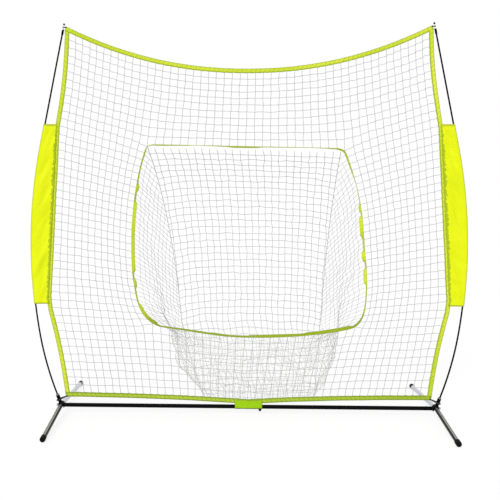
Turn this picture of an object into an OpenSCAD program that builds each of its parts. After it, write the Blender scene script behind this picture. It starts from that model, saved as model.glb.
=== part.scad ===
// Bow-frame pitching target. Two arched feet and a sectional crossbar carry two sprung
// bow poles, which stretch a square net. The net's strike-zone mouth opens into a
// catch pocket that hangs behind it.
// Millimetres. X runs along the crossbar, +Y points away from the thrower, Z is up.
// The origin is the middle of the footprint on the floor.

/* [Feet] */
// Distance between the two feet, centre to centre
base_w = 2134; // [1750:2:2600]
// Outside diameter of a foot tube
foot_d = 25.4; // [22:0.1:28]
// Wall of a foot tube
foot_wall = 1.5; // [1:0.1:2.5]
// Reach of a foot towards the thrower, hub to tube end
foot_front = 400; // [300:5:520]
// Reach of a foot behind the net, hub to tube end
foot_rear = 515; // [400:5:650]
// Height of a hub above the ends of its arched foot
foot_arch = 40; // [25:1:60]
// Bend radius on each side of the hub
foot_bend_r = 200; // [120:10:300]
// Wall of a foot's end cap
cap_wall = 2.3; // [1.8:0.1:4]
// Length of foot tube inside a cap
cap_depth = 28; // [18:1:40]
// Thickness of a cap's closed end
cap_end = 5; // [4:0.5:8]
// Depth of the flat sole on a cap
sole_cut = 0.8; // [0.4:0.1:1.4]

/* [Hubs] */
// Wall of the saddle that straddles a foot tube
saddle_wall = 4; // [3:0.5:6]
// Length of the saddle along the foot
saddle_len = 32; // [28:1:38]
// Room over the tube that lets the foot rock on its bolt
rock_room = 1.8; // [1.7:0.1:3]
// Diameter of the hub bolt
bolt_d = 8; // [6:0.5:9]
// Length of the stub tube, from the foot's centre
stub_len = 79; // [74:1:100]
// Outside diameter of a pole socket
socket_d = 20; // [17:0.5:24]
// Distance of a socket's mouth from the foot's centre
socket_len = 60; // [52:1:66]

/* [Crossbar] */
// Outside diameter of the crossbar
bar_d = 22; // [20:0.5:24]
// Wall of the crossbar tube
bar_wall = 1.2; // [1:0.1:1.6]
// Distance of the outer joint from the middle joint
quarter_x = 498; // [350:2:600]
// Length of a swaged end inside its neighbour
spigot_len = 55; // [52:1:60]
// Diameter of a snap button
button_d = 7; // [6:0.5:8]
// Height of a snap button above the stub
button_proud = 2.6; // [2:0.1:3]
// Distance of a snap button from the foot's centre
button_inset = 52; // [48:1:58]

/* [Bow poles] */
// Diameter of the pole rod
rod_d = 9.5; // [8:0.5:11]
// Outward lean of a pole at its socket, in degrees
lean = 21.5; // [18:0.5:24]
// Bend radius of the lower part of a pole
low_bend_r = 1850; // [1500:10:2200]
// Outward lean where the two bends meet, in degrees
mid_lean = 9.8; // [8:0.1:12]
// Bend radius of the upper part of a pole
high_bend_r = 2980; // [2500:10:3400]
// Inward lean of the straight top, in degrees
top_lean = 10.9; // [9:0.1:13]
// Length of the straight top
pole_tail = 660; // [500:5:800]
// Path length from the foot to the lower pole joint
joint_low = 730; // [690:5:900]
// Path length from the foot to the upper pole joint
joint_high = 1420; // [1200:5:1500]
// Length of a joint ferrule
ferrule_len = 70; // [40:2:90]
// Wall of a joint ferrule
ferrule_wall = 1.4; // [1:0.1:2]

/* [Net] */
// Height of the net's top edge at its middle
top_mid = 1980; // [1850:5:2080]
// Height of the net's bottom edge at its middle
bottom_mid = 71.5; // [69:0.5:80]
// Width of the webbing that binds the net
band_w = 22; // [15:1:30]
// Thickness of the webbing, folded over the net
band_t = 3.2; // [2.6:0.1:5]
// Width of a modelled strand, which stands for three real ones
strand = 2.4; // [1.6:0.1:3]
// Number of modelled cells across the net
cells_across = 16; // [12:2:18]
// Number of modelled cells up the net
cells_up = 15; // [15:1:16]

/* [Strike zone] */
// Height of the mouth's top edge
open_top = 1520; // [1480:5:1550]
// Height of the mouth's bottom edge at its middle
open_low = 451; // [430:1:480]
// Height of the mouth's bottom corners
open_low_corner = 500; // [490:1:520]
// Half width of the mouth at its top corners
open_half_top = 578; // [520:2:600]
// Half width of the mouth at mid height
open_half_mid = 666; // [620:2:700]
// Half width of the mouth at its bottom corners
open_half_low = 612; // [560:2:640]
// Corner radius at the top of the mouth
open_top_r = 30; // [20:5:50]
// Corner radius at the bottom of the mouth
open_low_r = 90; // [60:5:110]
// Thickness of the mouth's webbing rim
rim_t = 3; // [2:0.5:5]
// Depth of the mouth's webbing rim
rim_depth = 22; // [15:1:30]

/* [Pocket] */
// Greatest depth of the pocket behind the net
pocket_depth = 400; // [300:10:480]
// Height of the pocket's deepest point
pocket_deep_z = 430; // [380:10:480]
// Half width of the pocket's back at its deepest point
pocket_half = 450; // [400:10:500]
// Half width of the pocket's bottom seam
pocket_seam_half = 320; // [260:10:360]
// Distance of the bottom seam behind the net
pocket_seam_y = 180; // [140:10:220]
// Height of the bottom seam above the floor
pocket_seam_z = 42; // [30:2:60]
// Thickness of the pocket's netting
pocket_t = 2.4; // [1.6:0.2:4]

/* [Side sleeves] */
// Path length from the foot to a sleeve's lower end
sleeve_start = 603; // [560:5:640]
// Path length from the foot to a sleeve's upper end
sleeve_end = 1638; // [1560:5:1680]
// Width of a sleeve at its lower end, pole axis to net
sleeve_w_low = 66; // [50:1:90]
// Width of a sleeve at its upper end, pole axis to net
sleeve_w_top = 62; // [50:1:90]
// Thickness of the sleeve cloth, both layers together
sleeve_t = 2; // [1.2:0.2:3]

/* [Ties] */
// Width of the tab that ties the net to the crossbar
tab_w = 154; // [100:2:200]
// Distance of the tab's middle from the crossbar's middle
tab_shift = -6; // [-20:1:20]
// Thickness of the tab cloth
tab_t = 1.5; // [1:0.1:2]
// Diameter of the cord in a top corner loop
loop_cord_d = 3; // [2:0.5:4]
// Diameter of a bottom corner strap
strap_d = 5.5; // [4.5:0.5:7]

/* [Hidden] */
$fn = 40;
arc_fn = 256; // fineness of the long bends
slip = 0.1; // clearance of a push fit
run = 0.08; // radial clearance of a turning or sliding fit
seam = 0.1; // step in radius where two lengths of one bar join
seam_root = 1.5; // how far one length is rooted in the other
rest_gap = 0.3; // clearance at which one soft piece rests on another

steel_black = [0.08, 0.08, 0.09];
rod_black = [0.12, 0.12, 0.13];
zinc = [0.62, 0.62, 0.6];
cloth_yellow = [0.9, 0.95, 0.1];
webbing_green = [0.72, 0.85, 0.15];
netting_white = [0.93, 0.93, 0.95];
cord_black = [0.1, 0.1, 0.1];

hub_x = base_w / 2;
foot_r = foot_d / 2;
cap_r = foot_r + cap_wall;
hub_z = foot_arch + cap_r - sole_cut;
net_y = (foot_front - foot_rear) / 2;
foot_flat = saddle_len / 2 + 4;
slot_r = foot_r + 0.3;
saddle_r = slot_r + saddle_wall;
saddle_drop = 14;
boss_r = bolt_d + 1.5;
boss_x = saddle_r + 0.8;
washer_t = 1.6;
nut_h = 0.8 * bolt_d;
nut_r = 0.94 * bolt_d;
head_h = 0.65 * bolt_d;
bore_r = bar_d / 2 - bar_wall;
spigot_r = bore_r - 2 * slip;
spigot_bore_r = spigot_r - bar_wall;
swage_len = 15;
flange_h = 1;
flange_r = button_d / 2 + 1;
flange_top = sqrt(pow(spigot_bore_r, 2) - pow(flange_r, 2)) - slip;
leaf_w = 5;
leaf_t = 0.6;
rod_r = rod_d / 2;
collar_len = 4;
socket_blind = 24;
pole_straight = socket_len + 10;

// Slope of a foot's straight run, found by repeated substitution.
function foot_slope(reach, a = 5, n = 4) =
    n == 0 ? a : foot_slope(reach,
        atan(foot_arch / (reach - foot_flat - foot_bend_r * tan(a / 2))), n - 1);

// A pole's path in the net's plane: a straight foot, two tangent bends and a straight top.
low_start = [hub_x, hub_z] + pole_straight * [sin(lean), cos(lean)];
low_centre = low_start + low_bend_r * [-cos(lean), sin(lean)];
high_start = low_centre + low_bend_r * [cos(mid_lean), -sin(mid_lean)];
high_centre = high_start + high_bend_r * [-cos(mid_lean), sin(mid_lean)];
tail_start = high_centre + high_bend_r * [cos(top_lean), sin(top_lean)];
tail_dir = [-sin(top_lean), cos(top_lean)];
low_len = low_bend_r * (lean - mid_lean) * PI / 180;
high_len = high_bend_r * (mid_lean + top_lean) * PI / 180;
low_end_s = pole_straight + low_len;
high_end_s = low_end_s + high_len;
pole_end = high_end_s + pole_tail;
pole_top = tail_start + pole_tail * tail_dir;

function low_angle(s) = lean - (s - pole_straight) / low_bend_r * 180 / PI;
function high_angle(s) = mid_lean - (s - low_end_s) / high_bend_r * 180 / PI;
function pole_point(s) =
    s < pole_straight ? [hub_x, hub_z] + s * [sin(lean), cos(lean)]
    : s < low_end_s ? low_centre + low_bend_r * [cos(low_angle(s)), -sin(low_angle(s))]
    : s < high_end_s ? high_centre + high_bend_r * [cos(high_angle(s)), -sin(high_angle(s))]
    : tail_start + (s - high_end_s) * tail_dir;

// The net's outer edge: corners, then the sleeve's two ends, all in the net's plane.
top_corner = pole_top + [-13, 18];
bottom_corner = [hub_x - foot_r - 14, hub_z + 49];
sleeve_low = pole_point(sleeve_start) - [sleeve_w_low, 0];
sleeve_top = pole_point(sleeve_end) - [sleeve_w_top, 0];

function low_edge_x(t) = sleeve_low.x - (sleeve_low.x - bottom_corner.x) * (1.4 * t - 0.4 * t * t);
function top_edge_x(t) = sleeve_top.x - (sleeve_top.x - top_corner.x) * (2 * t - t * t);
function side_x(z) =
    z < sleeve_low.y ? low_edge_x((sleeve_low.y - z) / (sleeve_low.y - bottom_corner.y))
    : z > sleeve_top.y ? top_edge_x((z - sleeve_top.y) / (top_corner.y - sleeve_top.y))
    : sleeve_low.x + (sleeve_top.x - sleeve_low.x) * (z - sleeve_low.y) / (sleeve_top.y - sleeve_low.y);
function top_z(u) = top_mid + (top_corner.y - top_mid) * pow(abs(u), 2.1);
function bottom_z(u) = bottom_mid + (bottom_corner.y - bottom_mid) * (2 * abs(u) - u * u);

// A point of the stretched cloth: u runs from -1 to 1 across it, v from 0 to 1 up it.
function cloth_point(u, v, inset) =
    let (z = (1 - v) * (bottom_z(u) + inset) + v * (top_z(u) - inset))
    [u * (side_x(z) - inset), z];
function net_point(u, v) = cloth_point(u, v, band_w);

open_row_low = 3;
open_row_mid = 7;
open_row_high = 11;
edge_over = 12; // how far a border cell's cut runs past the net
panel_gap = 0.2;

function across(i) = 2 * i / cells_across - 1;
function up(j) = j / cells_up;
function shift(k, last, d) = k == 0 ? -edge_over : k == last ? edge_over : d * strand / 2;
function cell_corner(i, j, di, dj) =
    net_point(across(i), up(j)) + [shift(i, cells_across, di), shift(j, cells_up, dj)];

function lerp(a, b, t) = a + (b - a) * t;
cols_cut = 2 * cells_across; // straight lengths in the net's top and bottom edges
rows_cut = 2 * cells_up; // and in its sides
function edge_across(v, inset) =
    [for (k = [0:cols_cut]) cloth_point(lerp(-1, 1, k / cols_cut), v, inset)];
function edge_up(u, inset) = [for (k = [0:rows_cut]) cloth_point(u, k / rows_cut, inset)];
function on_bend(a, b, c, t) = (1 - t) * (1 - t) * a + 2 * t * (1 - t) * b + t * t * c;
function bend(a, b, c, n) = [for (k = [0:n]) on_bend(a, b, c, k / n)];

// Right half of the mouth's outline, grown by g, from the top middle to the bottom middle.
bulge_x = 2 * open_half_mid - (open_half_top + open_half_low) / 2;
bulge_z = (open_top + open_low_corner) / 2;
function mouth_side(g) = bend(
    [open_half_top + g, open_top - open_top_r],
    [bulge_x + g, bulge_z],
    [open_half_low + g, open_low_corner + open_low_r], 16);
function mouth_half(g) = concat(
    bend([open_half_top - open_top_r, open_top + g],
        [open_half_top + g, open_top + g],
        [open_half_top + g, open_top - open_top_r], 5),
    mouth_side(g),
    bend([open_half_low + g, open_low_corner + open_low_r],
        [open_half_low - 25 + g, open_low_corner - g],
        [open_half_low - open_low_r, open_low_corner - 3 - g], 6),
    bend([open_half_low - open_low_r, open_low_corner - 3 - g],
        [open_half_low / 2, open_low - g],
        [0, open_low - g], 8));
function unique(pts) = [for (i = [0:len(pts) - 1]) if (i == 0 || norm(pts[i] - pts[i - 1]) > 0.01) pts[i]];
function mirrored(pts) = [for (i = [len(pts) - 1:-1:0]) if (pts[i].x > 0.01) [-pts[i].x, pts[i].y]];
function mouth(g) = let (half = unique(mouth_half(g))) concat(half, mirrored(half));

// The pocket's right-hand crease, where its side meets its back, from top to bottom seam.
rim_back = rim_depth - 3;
seam_gap = pocket_t / 2 + rest_gap;
pocket_hem_y = rim_back + seam_gap;
pocket_rows = 18;
crease_deep = [pocket_half, pocket_depth, pocket_deep_z];
crease_end = [pocket_seam_half, pocket_seam_y, pocket_seam_z];
crease_top = [open_half_top - 25, pocket_hem_y, open_top];
function unit(v) = v / norm(v);
crease_shoulder = [crease_top.x - 30, 0.82 * pocket_depth, 0.64 * open_top + 0.36 * pocket_deep_z];
crease_heel = [pocket_half - 50, 1.05 * pocket_depth, 0.3 * pocket_deep_z];
upper_share = 0.7;
function crease(t) = t < upper_share
    ? on_bend(crease_top, crease_shoulder, crease_deep, t / upper_share)
    : on_bend(crease_deep, crease_heel, crease_end, (t - upper_share) / (1 - upper_share));

module side(s) {
    if (s < 0) mirror([1, 0, 0]) children();
    else children();
}

module at_net(s = 1) side(s) translate([0, net_y, 0]) children();

module at_hub(s) side(s) translate([hub_x, net_y, hub_z]) children();

// Extrudes an outline drawn in the net's plane from y0 to y1.
module upright(y0, y1) translate([0, y1, 0]) rotate([90, 0, 0]) linear_extrude(y1 - y0) children();

module along_x(r, x0, x1) translate([x0, 0, 0]) rotate([0, 90, 0]) cylinder(r = r, h = x1 - x0);

module pole_straight_run(p, angle, a, b, r)
    translate([p.x + a * sin(angle), 0, p.y + a * cos(angle)])
        rotate([0, angle, 0]) cylinder(r = r, h = b - a);

module pole_bend(centre, bend_r, a0, a1, r)
    translate([centre.x, 0, centre.y]) rotate([90, 0, 0]) rotate([0, 0, -a0])
        rotate_extrude(angle = a0 - a1, $fn = arc_fn) translate([bend_r, 0]) circle(r, $fn = 32);

// A round bar of radius r that follows the pole's path from s0 to s1. Where it has more
// than one length, each is rooted in the one before it and a thread's width slimmer.
function length_at(s) = s < pole_straight ? 0 : s < low_end_s ? 1 : s < high_end_s ? 2 : 3;
module pole_run(r, s0, s1) {
    first = length_at(s0);
    low_s = first < 1 ? pole_straight - seam_root : s0;
    high_s = first < 2 ? low_end_s - seam_root : s0;
    tail_s = first < 3 ? high_end_s - seam_root : s0;
    if (first == 0)
        pole_straight_run([hub_x, hub_z], lean, s0, min(s1, pole_straight), r);
    if (first <= 1 && s1 > pole_straight)
        pole_bend(low_centre, low_bend_r, low_angle(low_s), low_angle(min(s1, low_end_s)),
            r - seam * (1 - first));
    if (first <= 2 && s1 > low_end_s)
        pole_bend(high_centre, high_bend_r, high_angle(high_s), high_angle(min(s1, high_end_s)),
            r - seam * (2 - first));
    if (s1 > high_end_s)
        pole_straight_run(tail_start, -top_lean, tail_s - high_end_s, s1 - high_end_s,
            r - seam * (3 - first));
}

// Puts children at the top of the pole, with Z along its axis.
module at_pole_top() translate([pole_top.x, 0, pole_top.y]) rotate([0, -top_lean, 0]) children();

// Half of a foot's bar: a bend, then a straight run. Each length is rooted in the next.
module foot_half(r, reach, extra) {
    a = foot_slope(reach);
    root = seam_root / foot_bend_r * 180 / PI;
    translate([0, foot_flat, -foot_bend_r]) rotate([90, 0, 90]) rotate([0, 0, 90 - a - root])
        rotate_extrude(angle = a + root, $fn = arc_fn) translate([foot_bend_r, 0]) circle(r - seam);
    translate([0, foot_flat + foot_bend_r * sin(a), -foot_bend_r * (1 - cos(a))])
        rotate([-90 - a, 0, 0])
            cylinder(r = r, h = (reach - foot_flat - foot_bend_r * sin(a)) / cos(a) + extra);
}

module foot_bar(r, extra) {
    rotate([90, 0, 0]) cylinder(r = r - 2 * seam, h = 2 * (foot_flat + seam_root), center = true);
    foot_half(r, foot_rear, extra);
    mirror([0, 1, 0]) foot_half(r, foot_front, extra);
}

module foot_tube(s) color(zinc) at_hub(s) difference() {
    foot_bar(foot_r, 0);
    foot_bar(foot_r - foot_wall, 1);
    along_x(bolt_d / 2 + run, -foot_r - 1, foot_r + 1);
}

module foot_cap(s, reach, end) color(cord_black) at_hub(s) mirror([0, end < 0 ? 1 : 0, 0]) difference() {
    edge_r = 0.45 * cap_r;
    translate([0, reach, -foot_arch]) rotate([-90 - foot_slope(reach), 0, 0]) difference() {
        rotate_extrude() {
            translate([0, -cap_depth]) square([cap_r, cap_depth + cap_end - edge_r]);
            translate([0, -cap_depth]) square([cap_r - edge_r, cap_depth + cap_end]);
            translate([cap_r - edge_r, cap_end - edge_r]) intersection() {
                circle(edge_r);
                square(edge_r);
            }
        }
        translate([0, 0, -cap_depth - 1]) cylinder(r = foot_r + slip, h = cap_depth + 1 + slip);
    }
    translate([-2 * cap_r, reach - 2 * cap_depth, -hub_z - cap_r]) cube([4 * cap_r, 4 * cap_depth, cap_r]);
}

module saddle_slot() {
    translate([0, rock_room]) circle(slot_r);
    translate([-slot_r, -saddle_drop - 1]) square([2 * slot_r, saddle_drop + 1 + rock_room]);
}

module saddle_outline() {
    translate([0, rock_room]) circle(saddle_r);
    translate([-saddle_r, -saddle_drop]) square([2 * saddle_r, saddle_drop + rock_room]);
}

// Side view of the cheeks: round below the bolt, square above it.
module cheek_outline() {
    intersection() {
        circle(saddle_len / 2);
        translate([-saddle_len / 2, -saddle_drop]) square([saddle_len, saddle_drop]);
    }
    translate([-saddle_len / 2, 0]) square([saddle_len, 2 * saddle_r]);
}

module hub(s) color(steel_black) at_hub(s) difference() {
    union() {
        intersection() {
            upright(-saddle_len / 2, saddle_len / 2) saddle_outline();
            translate([-saddle_r, 0, 0]) rotate([90, 0, 90]) linear_extrude(2 * saddle_r) cheek_outline();
        }
        along_x(boss_r, saddle_r - 1, boss_x);
        along_x(bar_d / 2, -stub_len, -slot_r - 0.5);
        rotate([0, lean, 0]) translate([0, 0, slot_r]) cylinder(d = socket_d, h = socket_len - slot_r);
    }
    upright(-saddle_len, saddle_len) saddle_slot();
    along_x(bore_r, -stub_len - 1, -saddle_r);
    along_x(bolt_d / 2 + slip / 2, -saddle_r - 1, boss_x + 1);
    rotate([0, lean, 0]) translate([0, 0, socket_blind]) cylinder(r = rod_r + slip, h = socket_len);
    translate([-button_inset, 0, 0]) cylinder(r = button_d / 2 + run, h = bar_d);
}

module hub_bolt(s) color(zinc) at_hub(s) {
    along_x(bolt_d / 2, -saddle_r, boss_x + washer_t + nut_h + 2);
    translate([-saddle_r - head_h, 0, 0]) rotate([0, 90, 0]) cylinder(r = nut_r, h = head_h, $fn = 6);
}

module hub_washer(s) color(zinc) at_hub(s) difference() {
    along_x(bolt_d, boss_x, boss_x + washer_t);
    along_x(bolt_d / 2 + slip, boss_x - 1, boss_x + washer_t + 1);
}

module hub_nut(s) color(zinc) at_hub(s) translate([boss_x + washer_t, 0, 0]) difference() {
    intersection() {
        rotate([0, 90, 0]) cylinder(r = nut_r, h = nut_h, $fn = 6);
        rotate([0, 90, 0]) cylinder(r1 = nut_r + 2, r2 = 0.93 * nut_r, h = nut_h);
    }
    along_x(bolt_d / 2 + slip / 2, -1, nut_h + 1);
}

// A crossbar section from x0 to x1, swaged at each end that plugs into a neighbour.
module bar_section(x0, x1, swage_0, swage_1) {
    difference() {
        union() {
            along_x(bar_d / 2, x0, x1);
            if (swage_0) along_x(spigot_r, x0 - spigot_len, x0 + 1);
            if (swage_1) along_x(spigot_r, x1 - 1, x1 + spigot_len);
        }
        along_x(bore_r, swage_0 ? x0 + swage_len : x0 - 1, swage_1 ? x1 - swage_len : x1 + 1);
        along_x(spigot_bore_r, x0 - spigot_len - 1, x1 + spigot_len + 1);
    }
}

module crossbar_outer(s) color(steel_black) at_net(s) translate([0, 0, hub_z]) difference() {
    bar_section(quarter_x, hub_x - stub_len, false, true);
    translate([hub_x - button_inset, 0, 0]) cylinder(r = button_d / 2 + run, h = bar_d);
}

module crossbar_inner_left() color(steel_black) at_net(-1) translate([0, 0, hub_z])
    bar_section(0, quarter_x, false, true);

module crossbar_inner_right() color(steel_black) at_net(1) translate([0, 0, hub_z])
    bar_section(0, quarter_x, true, true);

module snap_button(s) color(zinc) at_hub(s) translate([-button_inset, 0, 0]) {
    top = bar_d / 2 + button_proud;
    translate([0, 0, flange_top - flange_h]) cylinder(r = flange_r, h = flange_h);
    rotate_extrude() {
        translate([0, flange_top - flange_h]) square([button_d / 2, top - 1.5 - flange_top + flange_h]);
        translate([0, top - 1.6]) square([button_d / 2 - 1.5, 1.6]);
        translate([button_d / 2 - 1.5, top - 1.5]) intersection() {
            circle(1.5);
            square(1.5);
        }
    }
}

// A leaf bent into a V lies in the swaged end and lifts the button's flange.
leaf_low = leaf_t / 2 + slip - sqrt(pow(spigot_bore_r, 2) - pow(leaf_w / 2, 2));
leaf_high = flange_top - flange_h - slip - leaf_t / 2;
leaf_path = [[7, leaf_low], [-22, leaf_low], [-28, leaf_low + 2], [-30.5, leaf_low + 5.5],
    [-28.5, leaf_low + 8], [-5, leaf_high], [5, leaf_high]];
function leaf_normal(i) =
    let (d = unit(leaf_path[min(i + 1, len(leaf_path) - 1)] - leaf_path[max(i - 1, 0)]))
    [-d.y, d.x] * leaf_t / 2;

module snap_spring(s) color(zinc) at_hub(s) translate([-button_inset, 0, 0])
    upright(-leaf_w / 2, leaf_w / 2) polygon(concat(
        [for (i = [0:len(leaf_path) - 1]) leaf_path[i] + leaf_normal(i)],
        [for (i = [len(leaf_path) - 1:-1:0]) leaf_path[i] - leaf_normal(i)]));

module socket_collar(s) color(zinc) at_hub(s) rotate([0, lean, 0]) translate([0, 0, socket_len]) difference() {
    rotate_extrude() {
        square([socket_d / 2 - 1, collar_len]);
        square([socket_d / 2, collar_len - 1]);
        translate([socket_d / 2 - 1, collar_len - 1]) circle(1);
    }
    translate([0, 0, -2]) cylinder(r = rod_r + slip, h = collar_len + 4);
    translate([0, 0, -2]) cylinder(d = socket_d + 1, h = 2);
}

// A rod between two points of the path; the next one butts against it inside a ferrule.
module pole_section(s, s0, s1) color(rod_black) at_net(s) pole_run(rod_r, s0 + slip, s1 - slip);

module pole_ferrules(s) color(steel_black) at_net(s)
    for (middle = [joint_low, joint_high]) difference() {
        pole_run(rod_r + ferrule_wall, middle - ferrule_len / 2, middle + ferrule_len / 2);
        pole_run(rod_r + slip, middle - ferrule_len, middle + ferrule_len);
    }

tip_grip = 25;
tip_shoulder = 10;
neck_r = 2.8;
neck_top = 34;
ball_r = 6;

module pole_tip(s) color(zinc) at_net(s) at_pole_top() difference() {
    union() {
        translate([0, 0, -tip_grip]) cylinder(r = rod_r + 1.6, h = tip_grip + 4);
        translate([0, 0, 4]) cylinder(r1 = rod_r + 1.6, r2 = neck_r, h = tip_shoulder - 4);
        cylinder(r = neck_r, h = neck_top);
    }
    translate([0, 0, -tip_grip - 1]) cylinder(r = rod_r + slip, h = tip_grip + 1);
}

module pole_ball(s) color(cord_black) at_net(s) at_pole_top() difference() {
    translate([0, 0, neck_top + 2]) sphere(ball_r);
    translate([0, 0, neck_top - 2 * ball_r]) cylinder(r = neck_r + slip / 2, h = 2 * ball_r + slip);
}

module rod_between(a, b, d) {
    v = b - a;
    translate([a.x, 0, a.y]) rotate([0, atan2(v.x, v.y), 0]) cylinder(d = d, h = norm(v));
}

module net_outline() polygon(concat(
    edge_across(1, 0),
    [for (k = [1:rows_cut]) cloth_point(1, 1 - k / rows_cut, 0)],
    [for (k = [1:cols_cut]) cloth_point(lerp(1, -1, k / cols_cut), 0, 0)],
    [for (k = [1:rows_cut - 1]) cloth_point(-1, k / rows_cut, 0)]));

// An elastic loop from each top corner of the net over the pole's neck.
module corner_loop(s) color(cord_black) at_net(s) difference() {
    loop_r = neck_r + rest_gap + loop_cord_d / 2;
    loop_s = tip_shoulder + 9;
    loop_mid = pole_top + loop_s * tail_dir;
    union() {
        at_pole_top() translate([0, 0, loop_s])
            rotate_extrude() translate([loop_r, 0]) circle(d = loop_cord_d);
        rod_between(loop_mid - loop_r * [cos(top_lean), sin(top_lean)], top_corner - [10, 8], loop_cord_d);
    }
    upright(-band_t / 2, band_t / 2) net_outline();
}

// An elastic strap from each bottom corner of the net round the pole socket.
module corner_strap(s) color(cord_black) at_net(s) difference() {
    hold_s = 34;
    hold_r = socket_d / 2 + rest_gap + strap_d / 2;
    hold = [hub_x, hub_z] + hold_s * [sin(lean), cos(lean)] + hold_r * [-cos(lean), sin(lean)];
    union() {
        translate([hub_x, 0, hub_z]) rotate([0, lean, 0]) translate([0, 0, hold_s])
            rotate_extrude() translate([hold_r, 0]) circle(d = strap_d);
        rod_between(hold, bottom_corner + [-12, 10], 0.9 * strap_d);
    }
    upright(-band_t / 2, band_t / 2) net_outline();
}

// A cloth tab wraps the crossbar and grips the bottom webbing between its two ends.
module centre_tab() color(webbing_green) at_net() translate([tab_shift - tab_w / 2, 0, hub_z])
    rotate([90, 0, 90]) linear_extrude(tab_w) difference() {
        wrap_r = bar_d / 2 + rest_gap;
        grip = band_t / 2 + rest_gap;
        union() {
            circle(wrap_r + tab_t);
            translate([-grip - tab_t, 0]) square([2 * (grip + tab_t), bottom_mid + band_w - hub_z]);
        }
        circle(wrap_r);
        translate([-grip, 0]) square([2 * grip, bottom_mid + 2 * band_w - hub_z]);
    }

// A sleeve of doubled cloth runs from a hem round the pole to the net's side webbing.
module side_sleeve(s) color(cloth_yellow) at_net(s) difference() {
    hem_r = rod_r + ferrule_wall + 0.5;
    steps = 20;
    union() {
        pole_run(hem_r + sleeve_t / 2, sleeve_start, sleeve_end);
        upright(-sleeve_t / 2, sleeve_t / 2) difference() {
            polygon(concat(
                [for (k = [0:steps]) pole_point(lerp(sleeve_start, sleeve_end, k / steps))],
                [sleeve_top - [band_w / 2, 0], sleeve_low - [band_w / 2, 0]]));
            net_outline();
        }
    }
    pole_run(hem_r, sleeve_start - 10, sleeve_end + 10);
}

module band(outer, inner) color(webbing_green) at_net() upright(-band_t / 2, band_t / 2)
    polygon(concat(outer, [for (i = [len(inner) - 1:-1:0]) inner[i]]));

module binding_across(v) band(edge_across(v, 0), edge_across(v, band_w));

module binding_up(u) band(edge_up(u, 0), edge_up(u, band_w));

// Outline of the cloth between columns i0 and i1 and rows j0 and j1, drawn in at the cuts.
module cloth_patch(i0, i1, j0, j1) {
    per_cell = 2;
    nu = (i1 - i0) * per_cell;
    nv = (j1 - j0) * per_cell;
    function row(k) = lerp(up(j0), up(j1), k / nv);
    function col(k) = lerp(across(i0), across(i1), k / nu);
    function drawn(p, x_side, z_side) = p + [
        x_side < 0 && i0 > 0 ? panel_gap : x_side > 0 && i1 < cells_across ? -panel_gap : 0,
        z_side < 0 && j0 > 0 ? panel_gap : z_side > 0 && j1 < cells_up ? -panel_gap : 0];
    function x_at(k) = k == 0 ? -1 : k == nu ? 1 : 0;
    function z_at(k) = k == 0 ? -1 : k == nv ? 1 : 0;
    polygon(concat(
        [for (k = [0:nu]) drawn(net_point(col(k), up(j1)), x_at(k), 1)],
        [for (k = [nv - 1:-1:0]) drawn(net_point(across(i1), row(k)), 1, z_at(k))],
        [for (k = [nu - 1:-1:0]) drawn(net_point(col(k), up(j0)), x_at(k), -1)],
        [for (k = [1:nv - 1]) drawn(net_point(across(i0), row(k)), -1, z_at(k))]));
}

// One flat piece of netting, open in every cell and cut back to the mouth's rim.
module net_panel(i0, i1, j0, j1) color(netting_white) at_net() upright(-strand / 2, strand / 2) difference() {
    cloth_patch(i0, i1, j0, j1);
    for (i = [i0:i1 - 1], j = [j0:j1 - 1])
        polygon([cell_corner(i, j, 1, 1), cell_corner(i + 1, j, -1, 1),
            cell_corner(i + 1, j + 1, -1, -1), cell_corner(i, j + 1, 1, -1)]);
    polygon(mouth(rim_t));
}

middle = cells_across / 2;

module front_net_top() {
    net_panel(0, middle, open_row_high, cells_up);
    net_panel(middle, cells_across, open_row_high, cells_up);
}

module front_net_bottom() {
    net_panel(0, middle, 0, open_row_low);
    net_panel(middle, cells_across, 0, open_row_low);
}

module front_net_left() {
    net_panel(0, middle, open_row_low, open_row_mid);
    net_panel(0, middle, open_row_mid, open_row_high);
}

module front_net_right() {
    net_panel(middle, cells_across, open_row_low, open_row_mid);
    net_panel(middle, cells_across, open_row_mid, open_row_high);
}

module opening_rim() color(webbing_green) at_net() upright(-3, rim_back) difference() {
    polygon(mouth(rim_t));
    polygon(mouth(0));
}

// A thin sheet of thickness t through a grid of points, rows[i][j].
module sheet(rows, t) {
    m = len(rows);
    n = len(rows[0]);
    function tangent(a, b) = unit(b - a);
    function facing(i, j) = unit(cross(
        tangent(rows[i][max(j - 1, 0)], rows[i][min(j + 1, n - 1)]),
        tangent(rows[max(i - 1, 0)][j], rows[min(i + 1, m - 1)][j])));
    front = [for (i = [0:m - 1], j = [0:n - 1]) rows[i][j] + facing(i, j) * t / 2];
    back = [for (i = [0:m - 1], j = [0:n - 1]) rows[i][j] - facing(i, j) * t / 2];
    function at(i, j) = i * n + j;
    function quad(a, b, c, d) = [[a, b, c], [a, c, d]];
    skin = [for (i = [0:m - 2], j = [0:n - 2]) [at(i, j), at(i, j + 1), at(i + 1, j + 1), at(i + 1, j)]];
    border = concat(
        [for (j = [0:n - 2]) [at(0, j), at(0, j + 1)]],
        [for (i = [0:m - 2]) [at(i, n - 1), at(i + 1, n - 1)]],
        [for (j = [n - 1:-1:1]) [at(m - 1, j), at(m - 1, j - 1)]],
        [for (i = [m - 1:-1:1]) [at(i, 0), at(i - 1, 0)]]);
    k = m * n;
    polyhedron(
        points = concat(front, back),
        faces = concat(
            [for (q = skin) each quad(q[3], q[2], q[1], q[0])],
            [for (q = skin) each quad(q[0] + k, q[1] + k, q[2] + k, q[3] + k)],
            [for (e = border) each quad(e[0], e[1], e[1] + k, e[0] + k)]));
}

module pocket_back() color(netting_white) at_net() sheet(
    [for (i = [0:pocket_rows]) let (p = crease(i / pocket_rows))
        [for (j = [0:4]) [lerp(-1, 1, j / 4) * (p.x - seam_gap), p.y, p.z]]], pocket_t);

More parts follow.
